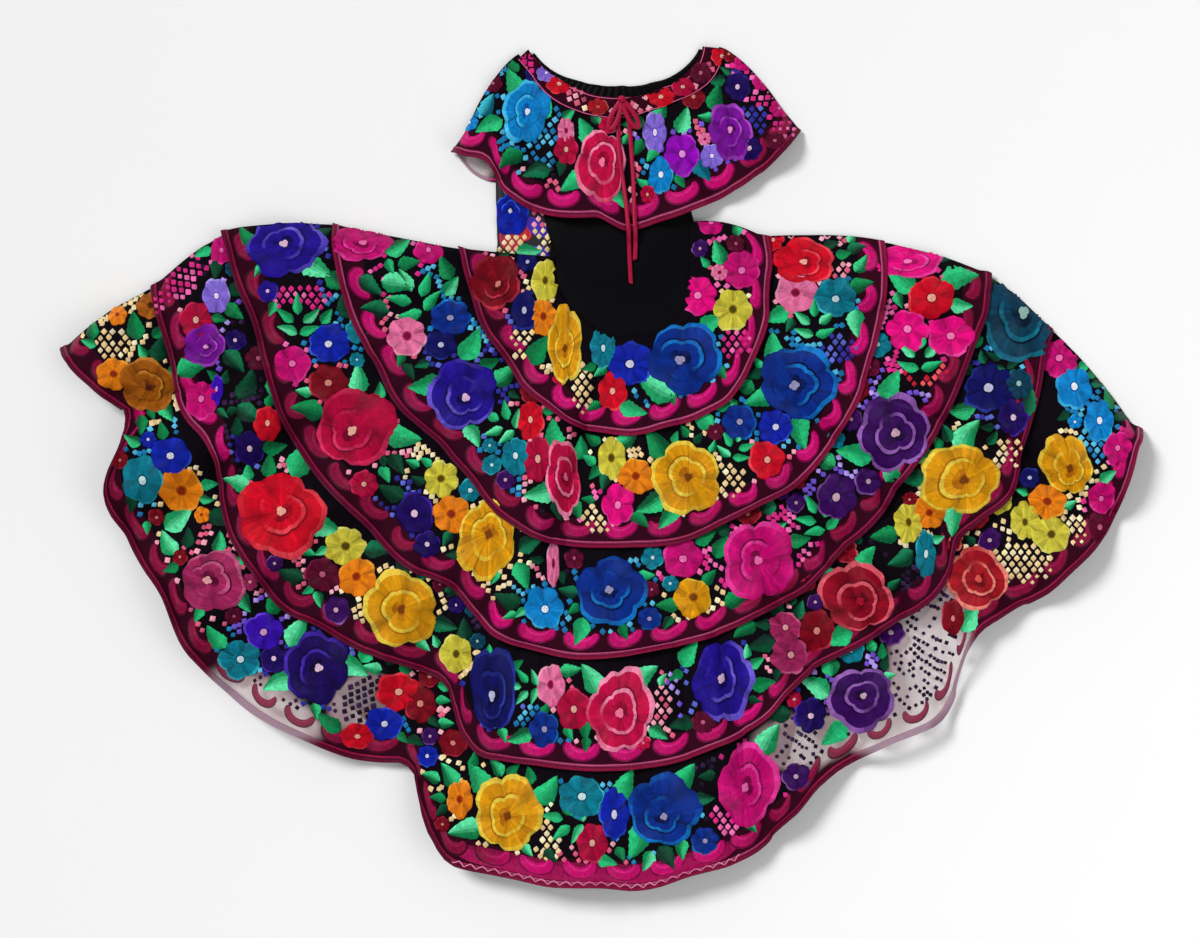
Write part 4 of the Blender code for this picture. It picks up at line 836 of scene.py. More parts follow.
class Cloth:
    """Grid of points on the face of one piece of cloth, from its top edge down to its hem."""

    def __init__(self, points, thickness):
        self.thickness = thickness
        self.normals = unit(np.cross(np.gradient(points, axis=0), np.gradient(points, axis=1)))
        self.points = points + self.normals * (thickness / 2)
        self.faces = grid_faces(*points.shape[:2])
        self.tree = BVHTree.FromPolygons(self.points.reshape(-1, 3).tolist(), self.faces.tolist())
        self.along = run_along(self.points[-1])
        self.up = run_along(self.points[::-1])[::-1]
        self.hem_length = self.along[-1]
        self.depth = float(np.median(self.up[0]))

    def at_hem(self, along, up):
        """Points and normals at distances along the hem and up from it."""
        column = np.interp(along, self.along, np.arange(len(self.along)))
        first = np.clip(column.astype(int), 0, len(self.along) - 2)
        found = []
        for side in (first, first + 1):
            ups = self.up[:, side]
            row = np.clip(np.sum(ups > up, axis=0) - 1, 0, len(ups) - 2)
            pick = np.arange(len(side))
            high, low = ups[row, pick], ups[row + 1, pick]
            share = np.clip((high - up) / np.maximum(high - low, 1e-9), 0.0, 1.0)[:, None]
            for grid in (self.points, self.normals):
                found.append(mix(grid[row, side], grid[row + 1, side], share))
        part = (column - first)[:, None]
        return mix(found[0], found[2], part), unit(mix(found[1], found[3], part))

    def under(self, x, y):
        """Point and normal of the face under a place, or two times None."""
        return self.tree.ray_cast(Vector((x, y, 1.0)), Vector((0, 0, -1)))[:2]

    def cover(self, places):
        """Points and normals of the face under many places, with which of them it lies under."""
        found = np.zeros((2, len(places), 3))
        there = np.zeros(len(places), bool)
        for k, (x, y) in enumerate(places):
            point, normal = self.under(x, y)
            if point is not None:
                found[0, k], found[1, k], there[k] = point, normal, True
        return found[0], found[1], there

    def area(self):
        """Area of the face."""
        corners = self.points.reshape(-1, 3)[self.faces]
        crossed = np.cross(corners[:, 2] - corners[:, 0], corners[:, 3] - corners[:, 1])
        return float(np.linalg.norm(crossed, axis=-1).sum() / 2)


def linear(code):
    """Linear light of an sRGB code."""
    share = np.array(list(bytes.fromhex(code))) / 255.0
    return np.where(share <= 0.04045, share / 12.92, ((share + 0.055) / 1.055) ** 2.4)


SILK = {row.name: dict(zip(THREADS, map(linear, row.threads.split()))) for row in SHADES}
SPARKS = {row.name: row.sparks for row in SHADES}


def tones(shade, names):
    """Colours of some of a silk's threads, one for each strip of a stitched line."""
    return np.array([SILK[shade][name] for name in names.split()])


def mesh_object(name, points, faces, material):
    """Smooth mesh object of quads."""
    mesh = bpy.data.meshes.new(name)
    mesh.vertices.add(len(points))
    mesh.vertices.foreach_set("co", np.asarray(points, np.float32).ravel())
    mesh.loops.add(faces.size)
    mesh.loops.foreach_set("vertex_index", np.asarray(faces, np.int32).ravel())
    mesh.polygons.add(len(faces))
    mesh.polygons.foreach_set("loop_start", np.arange(0, faces.size, 4, dtype=np.int32))
    mesh.update(calc_edges=True)
    mesh.validate()
    mesh.shade_smooth()
    mesh.materials.append(material)
    item = bpy.data.objects.new(name, mesh)
    bpy.context.scene.collection.objects.link(item)
    return item


def lay_threads(item, places):
    """Give each face corner its place across and along the threads, in metres."""
    threads = item.data.uv_layers.new(name="Threads")
    threads.data.foreach_set("uv", np.asarray(places, np.float32).ravel())


def shell_object(name, cloth, material, sheer=False):
    """Closed thin shell of a cloth."""
    shape = cloth.points.shape[:2]
    top = cloth.points.reshape(-1, 3)
    under = (cloth.points - cloth.normals * cloth.thickness).reshape(-1, 3)
    count = len(top)
    grid = np.arange(count).reshape(shape)
    rim = np.concatenate([grid[0], grid[1:, -1], grid[-1, -2::-1], grid[-2:0:-1, 0]])
    following = np.roll(rim, -1)
    sides = np.stack([rim, following, following + count, rim + count], axis=-1)
    faces = np.concatenate([cloth.faces, cloth.faces[:, ::-1] + count, sides])
    item = mesh_object(name, np.concatenate([top, under]), faces, material)
    places = np.stack([np.broadcast_to(cloth.along, shape).ravel(), cloth.up.ravel()], axis=-1)
    lay_threads(item, np.tile(places, (2, 1))[faces.ravel()])
    if sheer:
        mask = item.data.attributes.new("sheer", "FLOAT", "POINT")
        mask.data.foreach_set("value", np.tile(within(SHEER_ZONES, top), 2).astype(np.float32))
    return item


class Embroiderer:
    """Works listed motifs and other stitches on one piece of cloth, and gathers them for one mesh."""

    def __init__(self, cloth, relief, seed, blooms=(), sheer=False):
        self.cloth, self.relief, self.blooms, self.sheer = cloth, relief, blooms, sheer
        self.draw = np.random.default_rng(seed)
        self.taken, self.shapes, self.count = [], [], 0
        self.round = [bloom for bloom in blooms if isinstance(bloom, (Rose, Flower))]
        self.centres = np.array([pixel_place(bloom.px, bloom.py) for bloom in self.round])
        self.radii = np.array([bloom.size * PIXEL / 2 for bloom in self.round])

    def add(self, points, faces, colours, threads):
        """Add a shape: its points, quads, a colour for each quad and places on the threads."""
        if len(faces) > 0:
            self.shapes.append((points, faces + self.count, colours, threads))
            self.count += len(points)

    def lay(self, shape, x, y, turn, rise, jump=0.012):
        """Lay a flat shape on the cloth, dropping the quads that miss it or span a step."""
        places, heights, faces, colours, threads = shape
        dx, dy = turned(places[:, 0], places[:, 1], turn)
        points, normals, there = self.cloth.cover(np.stack([x + dx, y + dy], axis=-1))
        points = points + normals * (heights * self.relief + rise)[:, None]
        depth = points[faces, 2]
        kept = there[faces].all(axis=1) & (depth.max(axis=1) - depth.min(axis=1) < jump)
        self.add(points, faces[kept], colours[kept], threads)

    def thinness(self, points):
        """How see-through the cloth is at some points."""
        return within(SHEER_ZONES, points) if self.sheer else np.zeros(len(points))

    def take(self, x, y, radius):
        """Keep a place from being filled."""
        self.taken.append((x, y, radius))

    def room(self, x, y):
        """Distance from a place to the nearest motif's edge."""
        if not self.taken:
            return 1.0
        taken = np.array(self.taken)
        return float(np.min(np.hypot(taken[:, 0] - x, taken[:, 1] - y) - taken[:, 2]))

    def nearest(self, x, y):
        """Number of the listed flower nearest to a place, and the gap to its edge."""
        gaps = np.hypot(self.centres[:, 0] - x, self.centres[:, 1] - y) - self.radii
        near = int(np.argmin(gaps))
        return near, gaps[near]

    def build(self, name, material):
        """Join all the shapes in one mesh object."""
        points, faces, colours, threads = (np.concatenate(part) for part in zip(*self.shapes))
        used, inverse = np.unique(faces, return_inverse=True)
        faces = inverse.reshape(faces.shape)
        item = mesh_object(name, points[used], faces, material)
        rgba = np.ones((faces.size, 4), np.float32)
        rgba[:, :3] = np.repeat(colours, 4, axis=0)
        painted = item.data.color_attributes.new("Thread colour", "FLOAT_COLOR", "CORNER")
        painted.data.foreach_set("color", rgba.ravel())
        lay_threads(item, threads[used][faces.ravel()])
        return item


def petals(count, depth, uneven, draw):
    """Outline with rounded petals: at an angle, its reach, about one, and how near a notch it is."""
    sizes = 1.0 + uneven * draw.standard_normal(count)
    phase = draw.uniform(0.0, TURN)

    def outline(angle):
        turn = (angle - phase) / TURN * count
        bulge = np.sin(np.pi * (turn % 1.0)) ** 0.55
        size = np.interp(turn, np.arange(count) + 0.5, sizes, period=count)
        return size * (1.0 - depth * (1.0 - bulge)), 1.0 - bulge

    return outline


def ring_shape(rings, spokes, outer, inner, size, shade, draw, off_centre=(0.0, 0.0), boldness=0.0):
    """Polar grid of satin stitch: rings from the heart out, each one's tint all round or in patches."""
    angle = TURN * np.arange(spokes) / spokes
    edge, notch = outer(angle)
    reach = np.array([ring.reach for ring in rings])[:, None]
    rise = np.array([ring.rise for ring in rings])[:, None]
    radius = reach * mix(inner(angle)[0], edge, reach ** 1.5)
    radius = radius * (1.0 + FRAY * np.sin(14 * angle) * reach ** 8)
    drift = 1.0 - reach ** 2
    x = radius * np.cos(angle) + off_centre[0] * drift
    y = radius * np.sin(angle) + off_centre[1] * drift
    deep = notch * ease(reach, 0.3, 0.4)
    heights = rise - NOTCH_DEPTH * deep * (rise > 0)
    threads = np.stack([np.broadcast_to(angle * edge.mean(), radius.shape), radius], axis=-1)
    tilt, ripple, worn = draw.uniform(0.0, TURN, 3)
    patch = 0.6 * np.sin(angle + tilt) + 0.35 * np.sin(3 * angle + ripple)
    streaks = 1.0 + 0.09 * draw.standard_normal(spokes)
    silk = SILK[shade]
    colours = []
    for j, ring in enumerate(rings[1:], 1):
        shown = np.clip(ring.all_round + boldness * (ring.tint == "light") + patch, 0.0, 1.0)
        if ring.all_round >= 1.0:
            shown = np.ones(spokes)
        mottled = np.clip(0.10 + 0.30 * np.sin(4 * angle + worn + 6 * ring.reach), 0.0, 0.35)[:, None]
        colour = mix(mix(silk["main"], silk["dark"], mottled), silk[ring.tint], shown[:, None])
        # Silk darkened towards the petals' notches: painted shade in the dips between petals
        tone = streaks * (1.0 + 0.06 * draw.standard_normal(spokes)) * (1.0 - NOTCH_PAINTED_SHADE * deep[j])
        colours.append(colour * tone[:, None])
    places = np.stack([x, y], axis=-1).reshape(-1, 2) * (np.array(size) / 2)
    threads = threads.reshape(-1, 2) * sum(size) / 4
    colours = np.clip(np.concatenate(colours), 0.0, 1.0)
    return places, heights.ravel(), grid_faces(len(rings), spokes, closed=True), colours, threads


def rose_shape(size, shade, draw):
    """Full rose: a few broad petals, a broken pale contour inside and a heart off its centre."""
    outer = petals(int(draw.choice([4, 5, 5, 6])), 0.19, 0.07, draw)
    inner = petals(int(draw.choice([3, 4])), 0.36, 0.14, draw)
    off_centre = draw.uniform(-0.13, 0.13, 2)
    boldness = 0.6 if shade in BOLD_SHADES else 0.0
    return ring_shape(ROSE_RINGS, ROSE_SPOKES, outer, inner, size, shade, draw, off_centre, boldness)


def flower_shape(size, shade, draw):
    """Small flower with a few petals round a dot."""
    outer = petals(int(draw.choice([5, 6, 6, 7, 8])), 0.20, 0.05, draw)
    round_heart = petals(2, 0.0, 0.0, draw)
    return ring_shape(FLOWER_RINGS, FLOWER_SPOKES, outer, round_heart, size, shade, draw)


def leaf_shape(size, shade, draw):
    """Leaf in two tones, widest near its stalk and folded along its vein."""
    rows, columns = LEAF_GRID
    v = shares(rows)[:, None]
    u = np.linspace(-1.0, 1.0, columns)[None, :]
    past_widest = (1.0 - v) / (1.0 - LEAF_WIDEST)
    half = np.where(v < LEAF_WIDEST, (v / LEAF_WIDEST) ** 0.5, past_widest ** 0.70)
    half = half * (1.0 + 0.07 * np.sin(38 * v + draw.uniform(0.0, 6.0)))
    x = (v - 0.5) * size[0] + 0.0 * u
    y = u * half * size[1] / 2 + draw.uniform(-0.14, 0.14) * size[1] * np.sin(np.pi * v)
    heights = (0.85 - 1.15 * np.abs(u) ** 3 - 0.35 * np.exp(-(u / 0.12) ** 2)) + 0.0 * v
    across = np.broadcast_to((u[:, :-1] + u[:, 1:]) / 2, (rows - 1, columns - 1)).ravel()
    silk = SILK[shade]
    bright = silk["light" if draw.uniform() < 0.45 else "main"]
    deep = mix(silk["dark"], silk["main"], draw.uniform(0.0, 0.4))
    lit = ease(0.5 + 0.8 * across * draw.choice([-1, 1]))[:, None]
    colours = mix(deep, bright, lit) * (1.0 + 0.10 * draw.standard_normal((len(lit), 1)))
    places = np.stack([x.ravel(), y.ravel()], axis=-1)
    threads = np.stack([x.ravel() + 0.5 * np.abs(y.ravel()), y.ravel()], axis=-1)
    faces = grid_faces(rows, columns)[:, ::-1]
    return places, heights.ravel(), faces, np.clip(colours, 0, 1), threads


def knot_shape(side, shade, draw):
    """Small square knot of thread, standing on its corner."""
    u, v = np.meshgrid(*[np.array([-1.0, -0.5, 0.5, 1.0])] * 2)
    heights = np.where(np.maximum(np.abs(u), np.abs(v)) < 0.9, 0.75, -0.25)
    places = np.stack(turned(u.ravel() * side / 2, v.ravel() * side / 2, 45), axis=-1)
    tone = "light" if draw.uniform() < 0.4 else "main"
    colour = SILK[shade][tone] * (1.0 + 0.12 * draw.standard_normal())
    return places, heights.ravel(), grid_faces(4, 4), np.clip(np.tile(colour, (9, 1)), 0, 1), places


def work_sprig(worker, x, y, size, bloom):
    """Sprig of small leaflets."""
    for leaflet in SPRIG_LEAFLETS:
        dx, dy = turned(leaflet.aside * size, leaflet.out * size, bloom.turn)
        shape = leaf_shape((size * 0.50, size * 0.24), bloom.shade, worker.draw)
        worker.lay(shape, x + dx, y + dy, bloom.turn + leaflet.lean, LEAF_LIFT)
    worker.take(x, y, size * 0.45)


def work_net(worker, x, y, size, bloom, silk):
    """Lattice of square knots inside an ellipse."""
    width, height, step = size, size * bloom.ratio, silk.dot_spacing
    across, down = int(width / step) + 1, int(height / step) + 1
    draw = worker.draw
    for j in range(-down, down + 1):
        for k in range(-across, across + 1):
            u, v = (k + 0.5 * (j % 2)) * step, j * step * ROW_SHARE
            if (2 * u / width) ** 2 + (2 * v / height) ** 2 > 1.0 or draw.uniform() < 0.05:
                continue
            dx, dy = turned(u + draw.normal(0, KNOT_STRAY), v + draw.normal(0, KNOT_STRAY), bloom.turn)
            if worker.room(x + dx, y + dy) > 0.001:
                shape = knot_shape(silk.dot_size * draw.uniform(0.88, 1.1), bloom.shade, draw)
                worker.lay(shape, x + dx, y + dy, bloom.turn, KNOT_LIFT)
    worker.take(x, y, size * 0.5 * math.sqrt(bloom.ratio))


def work_bloom(worker, bloom, silk):
    """Work one listed motif."""
    x, y = pixel_place(bloom.px, bloom.py)
    width = bloom.size * PIXEL
    height = width * getattr(bloom, "ratio", LEAF_RATIO)
    size, shade, draw = (width, height), bloom.shade, worker.draw
    if isinstance(bloom, Sprig):
        work_sprig(worker, x, y, width, bloom)
        return
    if isinstance(bloom, Net):
        work_net(worker, x, y, width, bloom, silk)
        return
    if isinstance(bloom, Rose):
        worker.lay(rose_shape(size, shade, draw), x, y, bloom.turn, ROSE_LIFT)
    elif isinstance(bloom, Flower):
        worker.lay(flower_shape(size, shade, draw), x, y, 0, FLOWER_LIFT)
    else:
        worker.lay(leaf_shape(size, shade, draw), x, y, bloom.turn, LEAF_LIFT)
    worker.take(x, y, 0.5 * math.sqrt(width * height) * 0.92)


def work_blooms(worker, silk):
    """Work the listed motifs, leaves first and nets last."""
    for kind in (Leaf, Sprig, Flower, Rose, Net):
        for bloom in worker.blooms:
            if isinstance(bloom, kind):
                work_bloom(worker, bloom, silk)


def work_filling(worker, silk, first_up, last_up):
    """Leaves, small flowers and knots in the gaps between the listed motifs."""
    cloth, draw = worker.cloth, worker.draw
    tries = int(cloth.hem_length * (last_up - first_up) / TRY_AREA)
    along = draw.uniform(0.0, cloth.hem_length, tries)
    points, _ = cloth.at_hem(along, draw.uniform(first_up, last_up, tries))
    # In a shade zone the leaves and flowers take the darkest silks, as painted shade
    kinds, in_painted_shade = draw.uniform(0, 1, tries), within(PAINTED_SHADE_ZONES, points) > PAINTED_SHADE_FROM
    for (x, y, _), kind, thin, dark in zip(points, kinds, worker.thinness(points), in_painted_shade):
        room = worker.room(x, y)
        if room < FILLING_ROOM or thin > THIN:
            continue
        near, gap = worker.nearest(x, y)
        lean = math.degrees(math.atan2(y - worker.centres[near][1], x - worker.centres[near][0]))
        if kind < LEAF_DRAW and gap < LEAF_GAP:
            length = min(FILLING_SIZE, 2.7 * room)
            shade = str(draw.choice(PAINTED_SHADE_LEAVES if dark else FILLING_LEAVES))
            shape = leaf_shape((length, length * LEAF_RATIO), shade, draw)
            worker.lay(shape, x, y, lean + draw.uniform(-40, 40), LEAF_LIFT)
            worker.take(x, y, length * 0.38)
        elif kind < FLOWER_DRAW and room > FLOWER_ROOM:
            size = min(FILLING_SIZE, 2.1 * room)
            shade = worker.round[near].shade if kind < SAME_SILK_DRAW else str(draw.choice(LOW_SHADES))
            if dark:
                shade = str(draw.choice(PAINTED_SHADE_FLOWERS))
            worker.lay(flower_shape((size, size), shade, draw), x, y, 0, FLOWER_LIFT)
            worker.take(x, y, size / 2)
    knot_rows(worker, silk, first_up, last_up)


def knot_rows(worker, silk, first_up, last_up):
    """Rows of square knots wherever nothing else lies."""
    cloth, draw, step = worker.cloth, worker.draw, silk.dot_spacing
    columns = int(cloth.hem_length / step)
    for j in range(int((last_up - first_up) / (step * ROW_SHARE))):
        k = np.arange(columns) + 0.5 * (j % 2) + 0.25
        along = k / columns * cloth.hem_length + draw.normal(0, KNOT_STRAY, columns)
        up = first_up + (j + 0.5) * step * ROW_SHARE + draw.normal(0, KNOT_STRAY, columns)
        points, _ = cloth.at_hem(along, up)
        slopes = np.degrees(np.arctan2(np.gradient(points[:, 1]), np.gradient(points[:, 0])))
        in_painted_shade = within(PAINTED_SHADE_ZONES, points) > PAINTED_SHADE_FROM
        for (x, y, _), slope, thin, dark in zip(points, slopes, worker.thinness(points), in_painted_shade):
            if draw.uniform() < 0.10 + 0.25 * thin or worker.room(x, y) < KNOT_ROOM:
                continue
            near, gap = worker.nearest(x, y)
            # Knots in thin places are dark ink; in a shade zone away from flowers they are near-black ink
            # as painted shade
            ink_or_painted_shade = thin > THIN or dark and gap > PAINTED_SHADE_GAP
            shade = "ink" if ink_or_painted_shade else SPARKS[worker.round[near].shade]
            side = silk.dot_size * draw.uniform(0.85, 1.1) * (0.75 if thin > THIN else 1.0)
            shape = knot_shape(side, shade, draw)
            worker.lay(shape, x, y, slope + draw.uniform(-10, 10) * (1 + 4 * thin), KNOT_LIFT)


def stitched_line(worker, along, up, width, rise, crown, low, high, shift=0.0, ghost=0.8):
    """Raised line of satin stitch on a path, by distances along the hem and up from it."""
    path = np.stack([along, up])
    step = np.gradient(path, axis=1)
    step = step / np.hypot(*step)
    strips = len(low)
    across = np.linspace(-0.5, 0.5, strips + 1)[:, None] * width
    grid_along = along - across * step[1]
    grid_up = up + across * step[0]
    points, normals = worker.cloth.at_hem(grid_along.ravel(), grid_up.ravel())
    heights = crown * (1.0 - 1.2 * np.abs(np.linspace(-1.0, 1.0, strips + 1)) ** 3)
    points = points + normals * (np.repeat(heights, len(along)) * worker.relief + rise)[:, None]
    faces = grid_faces(strips + 1, len(along))[:, ::-1]
    inside = ((grid_along > 0.0) & (grid_along < worker.cloth.hem_length)).ravel()
    kept = inside[faces].all(axis=1)
    glow = np.clip(border_glow(points)[faces].mean(axis=1)[:, None] + shift, 0.0, 1.0)
    colours = mix(*(np.repeat(rows, len(along) - 1, axis=0) for rows in (low, high)), glow)
    colours = colours * (1.0 + 0.09 * worker.draw.standard_normal((len(colours), 1)))
    thin = worker.thinness(points)[faces].mean(axis=1)[:, None]
    colours = np.clip(mix(colours, SILK["ghost"]["main"], ghost * thin), 0.0, 1.0)
    threads = np.stack([np.tile(run_along(path.T), strips + 1), (across + 0.0 * along).ravel()], axis=-1)
    worker.add(points, faces[kept], colours[kept], threads)


def hem_line(worker, line, up=None):
    """Stitched line at one height over the hem, from side to side."""
    length = worker.cloth.hem_length
    along = np.linspace(0.001, length - 0.001, int(length * LINE_COLUMNS))
    up = np.full_like(along, line.up if up is None else up)
    low, high = tones(line.low, line.threads), tones(line.high, line.threads)
    stitched_line(worker, along, up, line.width, line.rise, line.crown, low, high)


def scallops(worker, silk):
    """Crescents of satin stitch that open towards the waist, side by side along the hem."""
    length, draw = worker.cloth.hem_length, worker.draw
    count = round(length / silk.scallop_width)
    turn = np.linspace(-1.0, 1.0, 27)
    thick = silk.scallop_depth * 0.54 * np.sqrt(1.0 - 0.985 * turn ** 6)
    low, high = tones("maroon", SCALLOP_THREADS), tones("border", SCALLOP_THREADS)
    for number in range(count):
        half = silk.scallop_width * 0.30 * draw.uniform(0.95, 1.05)
        rise = silk.scallop_depth * 0.36 * draw.uniform(0.92, 1.08)
        along = (number + 0.5) * length / count + half * np.sin(SCALLOP_ARC * turn)
        up = silk.band_depth + thick.max() / 2 + rise * (1.0 - np.cos(SCALLOP_ARC * turn))
        middle, _ = worker.cloth.at_hem(along[13:14], up[13:14])
        thin = worker.thinness(middle)[0]
        stitched_line(worker, along, up, thick * (1.0 - 0.4 * thin), SCALLOP_RISE, 0.35, low, high,
                      draw.normal(0.0, 0.14) - thin, 0.1)


def work_hem(worker, silk):
    """Border of a flounce: a dark edge, a mauve line and the scallops above it."""
    for line in HEM_LINES:
        hem_line(worker, line)
    scallops(worker, silk)


def work_centre_hem(worker):
    """Solid strip behind the scallops and a zigzag thread, in the middle of the lowest hem."""
    cloth = worker.cloth
    left, right = (pixel_place(px, 0)[0] for px in CENTRE_HEM)
    x, y, _ = cloth.points[-1].T
    start, end = cloth.along[(x > left) & (x < right) & (y < CENTRE_HEM_TOP)][[0, -1]]
    share = shares(240)
    along = mix(start, end, share)
    width = STRIP_WIDTH * np.sqrt(1.0 - 0.98 * (2 * share - 1) ** 10)
    strip = mix(tones("border", "main main main dark"), SILK["maroon"]["main"], 0.6)
    stitched_line(worker, along, np.full_like(along, STRIP_UP), width, STRIP_RISE, 0.2, strip, strip)
    zigzag = ZIGZAG_UP + ZIGZAG_HEIGHT * np.abs((along / ZIGZAG_STEP) % 2.0 - 1.0)
    lace = tones("pink", "main light")
    stitched_line(worker, along, zigzag, ZIGZAG_WIDTH, ZIGZAG_RISE, 0.5, lace, lace)


def plug(tree, socket, value):
    """Link an output to a socket, or set its value."""
    if isinstance(value, bpy.types.NodeSocket):
        tree.links.new(value, socket)
    else:
        socket.default_value = value


def fill(tree, filled, **inputs):
    """Plug values and outputs in a node's sockets, by name."""
    for label, value in inputs.items():
        plug(tree, filled.inputs[label.replace("_", " ")], value)


def node(tree, kind, settings=None, **inputs):
    """Add a node with its settings, values and links."""
    made = tree.nodes.new(kind)
    for key, value in (settings or {}).items():
        setattr(made, key, value)
    fill(tree, made, **inputs)
    return made


def maths(tree, operation, *values):
    """Value of a sum."""
    made = node(tree, "ShaderNodeMath", {"operation": operation})
    for socket, value in zip(made.inputs, values):
        plug(tree, socket, value)
    return made.outputs[0]


def blended(tree, factor, first, second, blend="MIX"):
    """Colour mixed from two."""
    made = node(tree, "ShaderNodeMix", {"data_type": "RGBA", "blend_type": blend})
    for number, value in ((0, factor), (6, first), (7, second)):
        plug(tree, made.inputs[number], value)
    return made.outputs[2]


def group_node(tree, name, **inputs):
    """Place a shared node group, making it first if it isn't there."""
    group = bpy.data.node_groups.get(name) or GROUP_MAKERS[name](name)
    return node(tree, "ShaderNodeGroup", {"node_tree": group}, **inputs).outputs


def new_group(name, inputs, outputs):
    """Empty shader node group with named sockets: numbers with a default, and else a vector."""
    group = bpy.data.node_groups.new(name, "ShaderNodeTree")
    for label, default in inputs.items():
        kind = "NodeSocketVector" if default is None else "NodeSocketFloat"
        socket = group.interface.new_socket(label, in_out="INPUT", socket_type=kind)
        if default is not None:
            socket.default_value = default
    for label in outputs:
        group.interface.new_socket(label, in_out="OUTPUT", socket_type="NodeSocketFloat")
    return group, group.nodes.new("NodeGroupInput").outputs, group.nodes.new("NodeGroupOutput")


def stitch_group(name):
    """Satin stitch: streaks along the threads and the fine ridge that each one makes."""
    group, start, end = new_group(
        name, {"Place": None, "Thread width": 0.0009, "Streak": 0.35}, ("Streaks", "Height"))
    split = node(group, "ShaderNodeSeparateXYZ", Vector=start["Place"]).outputs
    across = maths(group, "DIVIDE", split[0], start["Thread width"])
    along = maths(group, "MULTIPLY", split[1], 60.0)
    stretched = node(group, "ShaderNodeCombineXYZ", X=maths(group, "MULTIPLY", across, 0.55), Y=along)
    noise = node(group, "ShaderNodeTexNoise", {"noise_dimensions": "2D"},
                 Vector=stretched.outputs[0], Scale=1.0, Detail=3.0, Roughness=0.6)
    centred = maths(group, "SUBTRACT", noise.outputs["Fac"], 0.5)
    streaks = maths(group, "ADD", maths(group, "MULTIPLY", centred, start["Streak"]), 1.0)
    ridge = maths(group, "MULTIPLY", maths(group, "SINE", maths(group, "MULTIPLY", across, 6.2832)), 0.5)
    height = maths(group, "ADD", ridge, maths(group, "MULTIPLY", centred, 1.4))
    fill(group, end, Streaks=streaks, Height=height)
    return group


def net_group(name):
    """Tulle: a fine net of holes, and the threads between them."""
    group, start, end = new_group(name, {"Place": None, "Mesh size": 0.0022}, ("Threads", "Cloud"))
    scale = maths(group, "DIVIDE", 1.0, start["Mesh size"])
    cells = node(group, "ShaderNodeTexVoronoi", {"feature": "DISTANCE_TO_EDGE", "voronoi_dimensions": "2D"},
                 Vector=start["Place"], Scale=scale, Randomness=0.25)
    threads = maths(group, "SUBTRACT", 1.0, maths(group, "MULTIPLY", cells.outputs["Distance"], 3.2))
    cloud = node(group, "ShaderNodeTexNoise", {"noise_dimensions": "2D"},
                 Vector=start["Place"], Scale=22.0, Detail=4.0, Roughness=0.55)
    fill(group, end, Threads=maths(group, "MAXIMUM", threads, 0.0), Cloud=cloud.outputs["Fac"])
    return group


GROUP_MAKERS = {"Satin stitch": stitch_group, "Tulle net": net_group}


def new_material(name):
    """Material with an empty Principled surface."""
    material = bpy.data.materials.new(name)
    material.use_nodes = True
    return material, material.node_tree, material.node_tree.nodes["Principled BSDF"]


def thread_place(tree):
    """Place across and along the threads."""
    return node(tree, "ShaderNodeUVMap", {"uv_map": "Threads"}).outputs[0]


def bump(tree, height, strength, distance):
    """Fine relief from a height."""
    return node(tree, "ShaderNodeBump", Height=height, Strength=strength, Distance=distance).outputs[0]


def silk_material():
    """Bright rayon thread in satin stitch, coloured stitch by stitch."""
    material, tree, surface = new_material("Silk embroidery")
    stitch = group_node(tree, "Satin stitch", Place=thread_place(tree), Thread_width=0.0011, Streak=0.75)
    colour = node(tree, "ShaderNodeVertexColor", {"layer_name": "Thread colour"}).outputs[0]
    fill(tree, surface, Base_Color=blended(tree, 1.0, colour, stitch["Streaks"], "MULTIPLY"),
         Roughness=maths(tree, "MULTIPLY_ADD", stitch["Height"], 0.10, 0.42),
         Specular_IOR_Level=0.08, Normal=bump(tree, stitch["Height"], 0.55, 0.0004))
    return material


def tulle_material(name, settings, hem_height, sheer=False):
    """Black tulle, wine-coloured along the hem, and see-through where a single layer lies."""
    material, tree, surface = new_material(name)
    place_out = thread_place(tree)
    net = group_node(tree, "Tulle net", Place=place_out, Mesh_size=0.0024)
    up = node(tree, "ShaderNodeSeparateXYZ", Vector=place_out).outputs[1]
    near_hem = node(tree, "ShaderNodeMapRange", {"interpolation_type": "SMOOTHSTEP"}, Value=up,
                    From_Min=hem_height, From_Max=hem_height + 0.006, To_Min=1.0, To_Max=0.0)
    base = blended(tree, near_hem.outputs[0], (*settings.ground, 1.0), (*settings.hem_band, 1.0))
    lighter = maths(tree, "MULTIPLY_ADD", net["Threads"], 0.9, 0.45)
    base = blended(tree, 1.0, base, lighter, "MULTIPLY")
    if sheer:
        mask = node(tree, "ShaderNodeAttribute", {"attribute_name": "sheer"}).outputs["Fac"]
        # Where a single layer lies, the black threads are painted pale: painted light of the pale surface
        # showing through
        pale = blended(tree, net["Cloud"], (0.66, 0.36, 0.38, 1.0), (0.80, 0.68, 0.71, 1.0))
        base = blended(tree, mask, base, pale)
        fill(tree, surface, Alpha=maths(tree, "SUBTRACT", 1.0, maths(tree, "MULTIPLY", mask, 0.84)))
    fill(tree, surface, Base_Color=base, Roughness=0.75, Specular_IOR_Level=0.05,
         Normal=bump(tree, net["Threads"], 0.5, 0.0003))
    return material


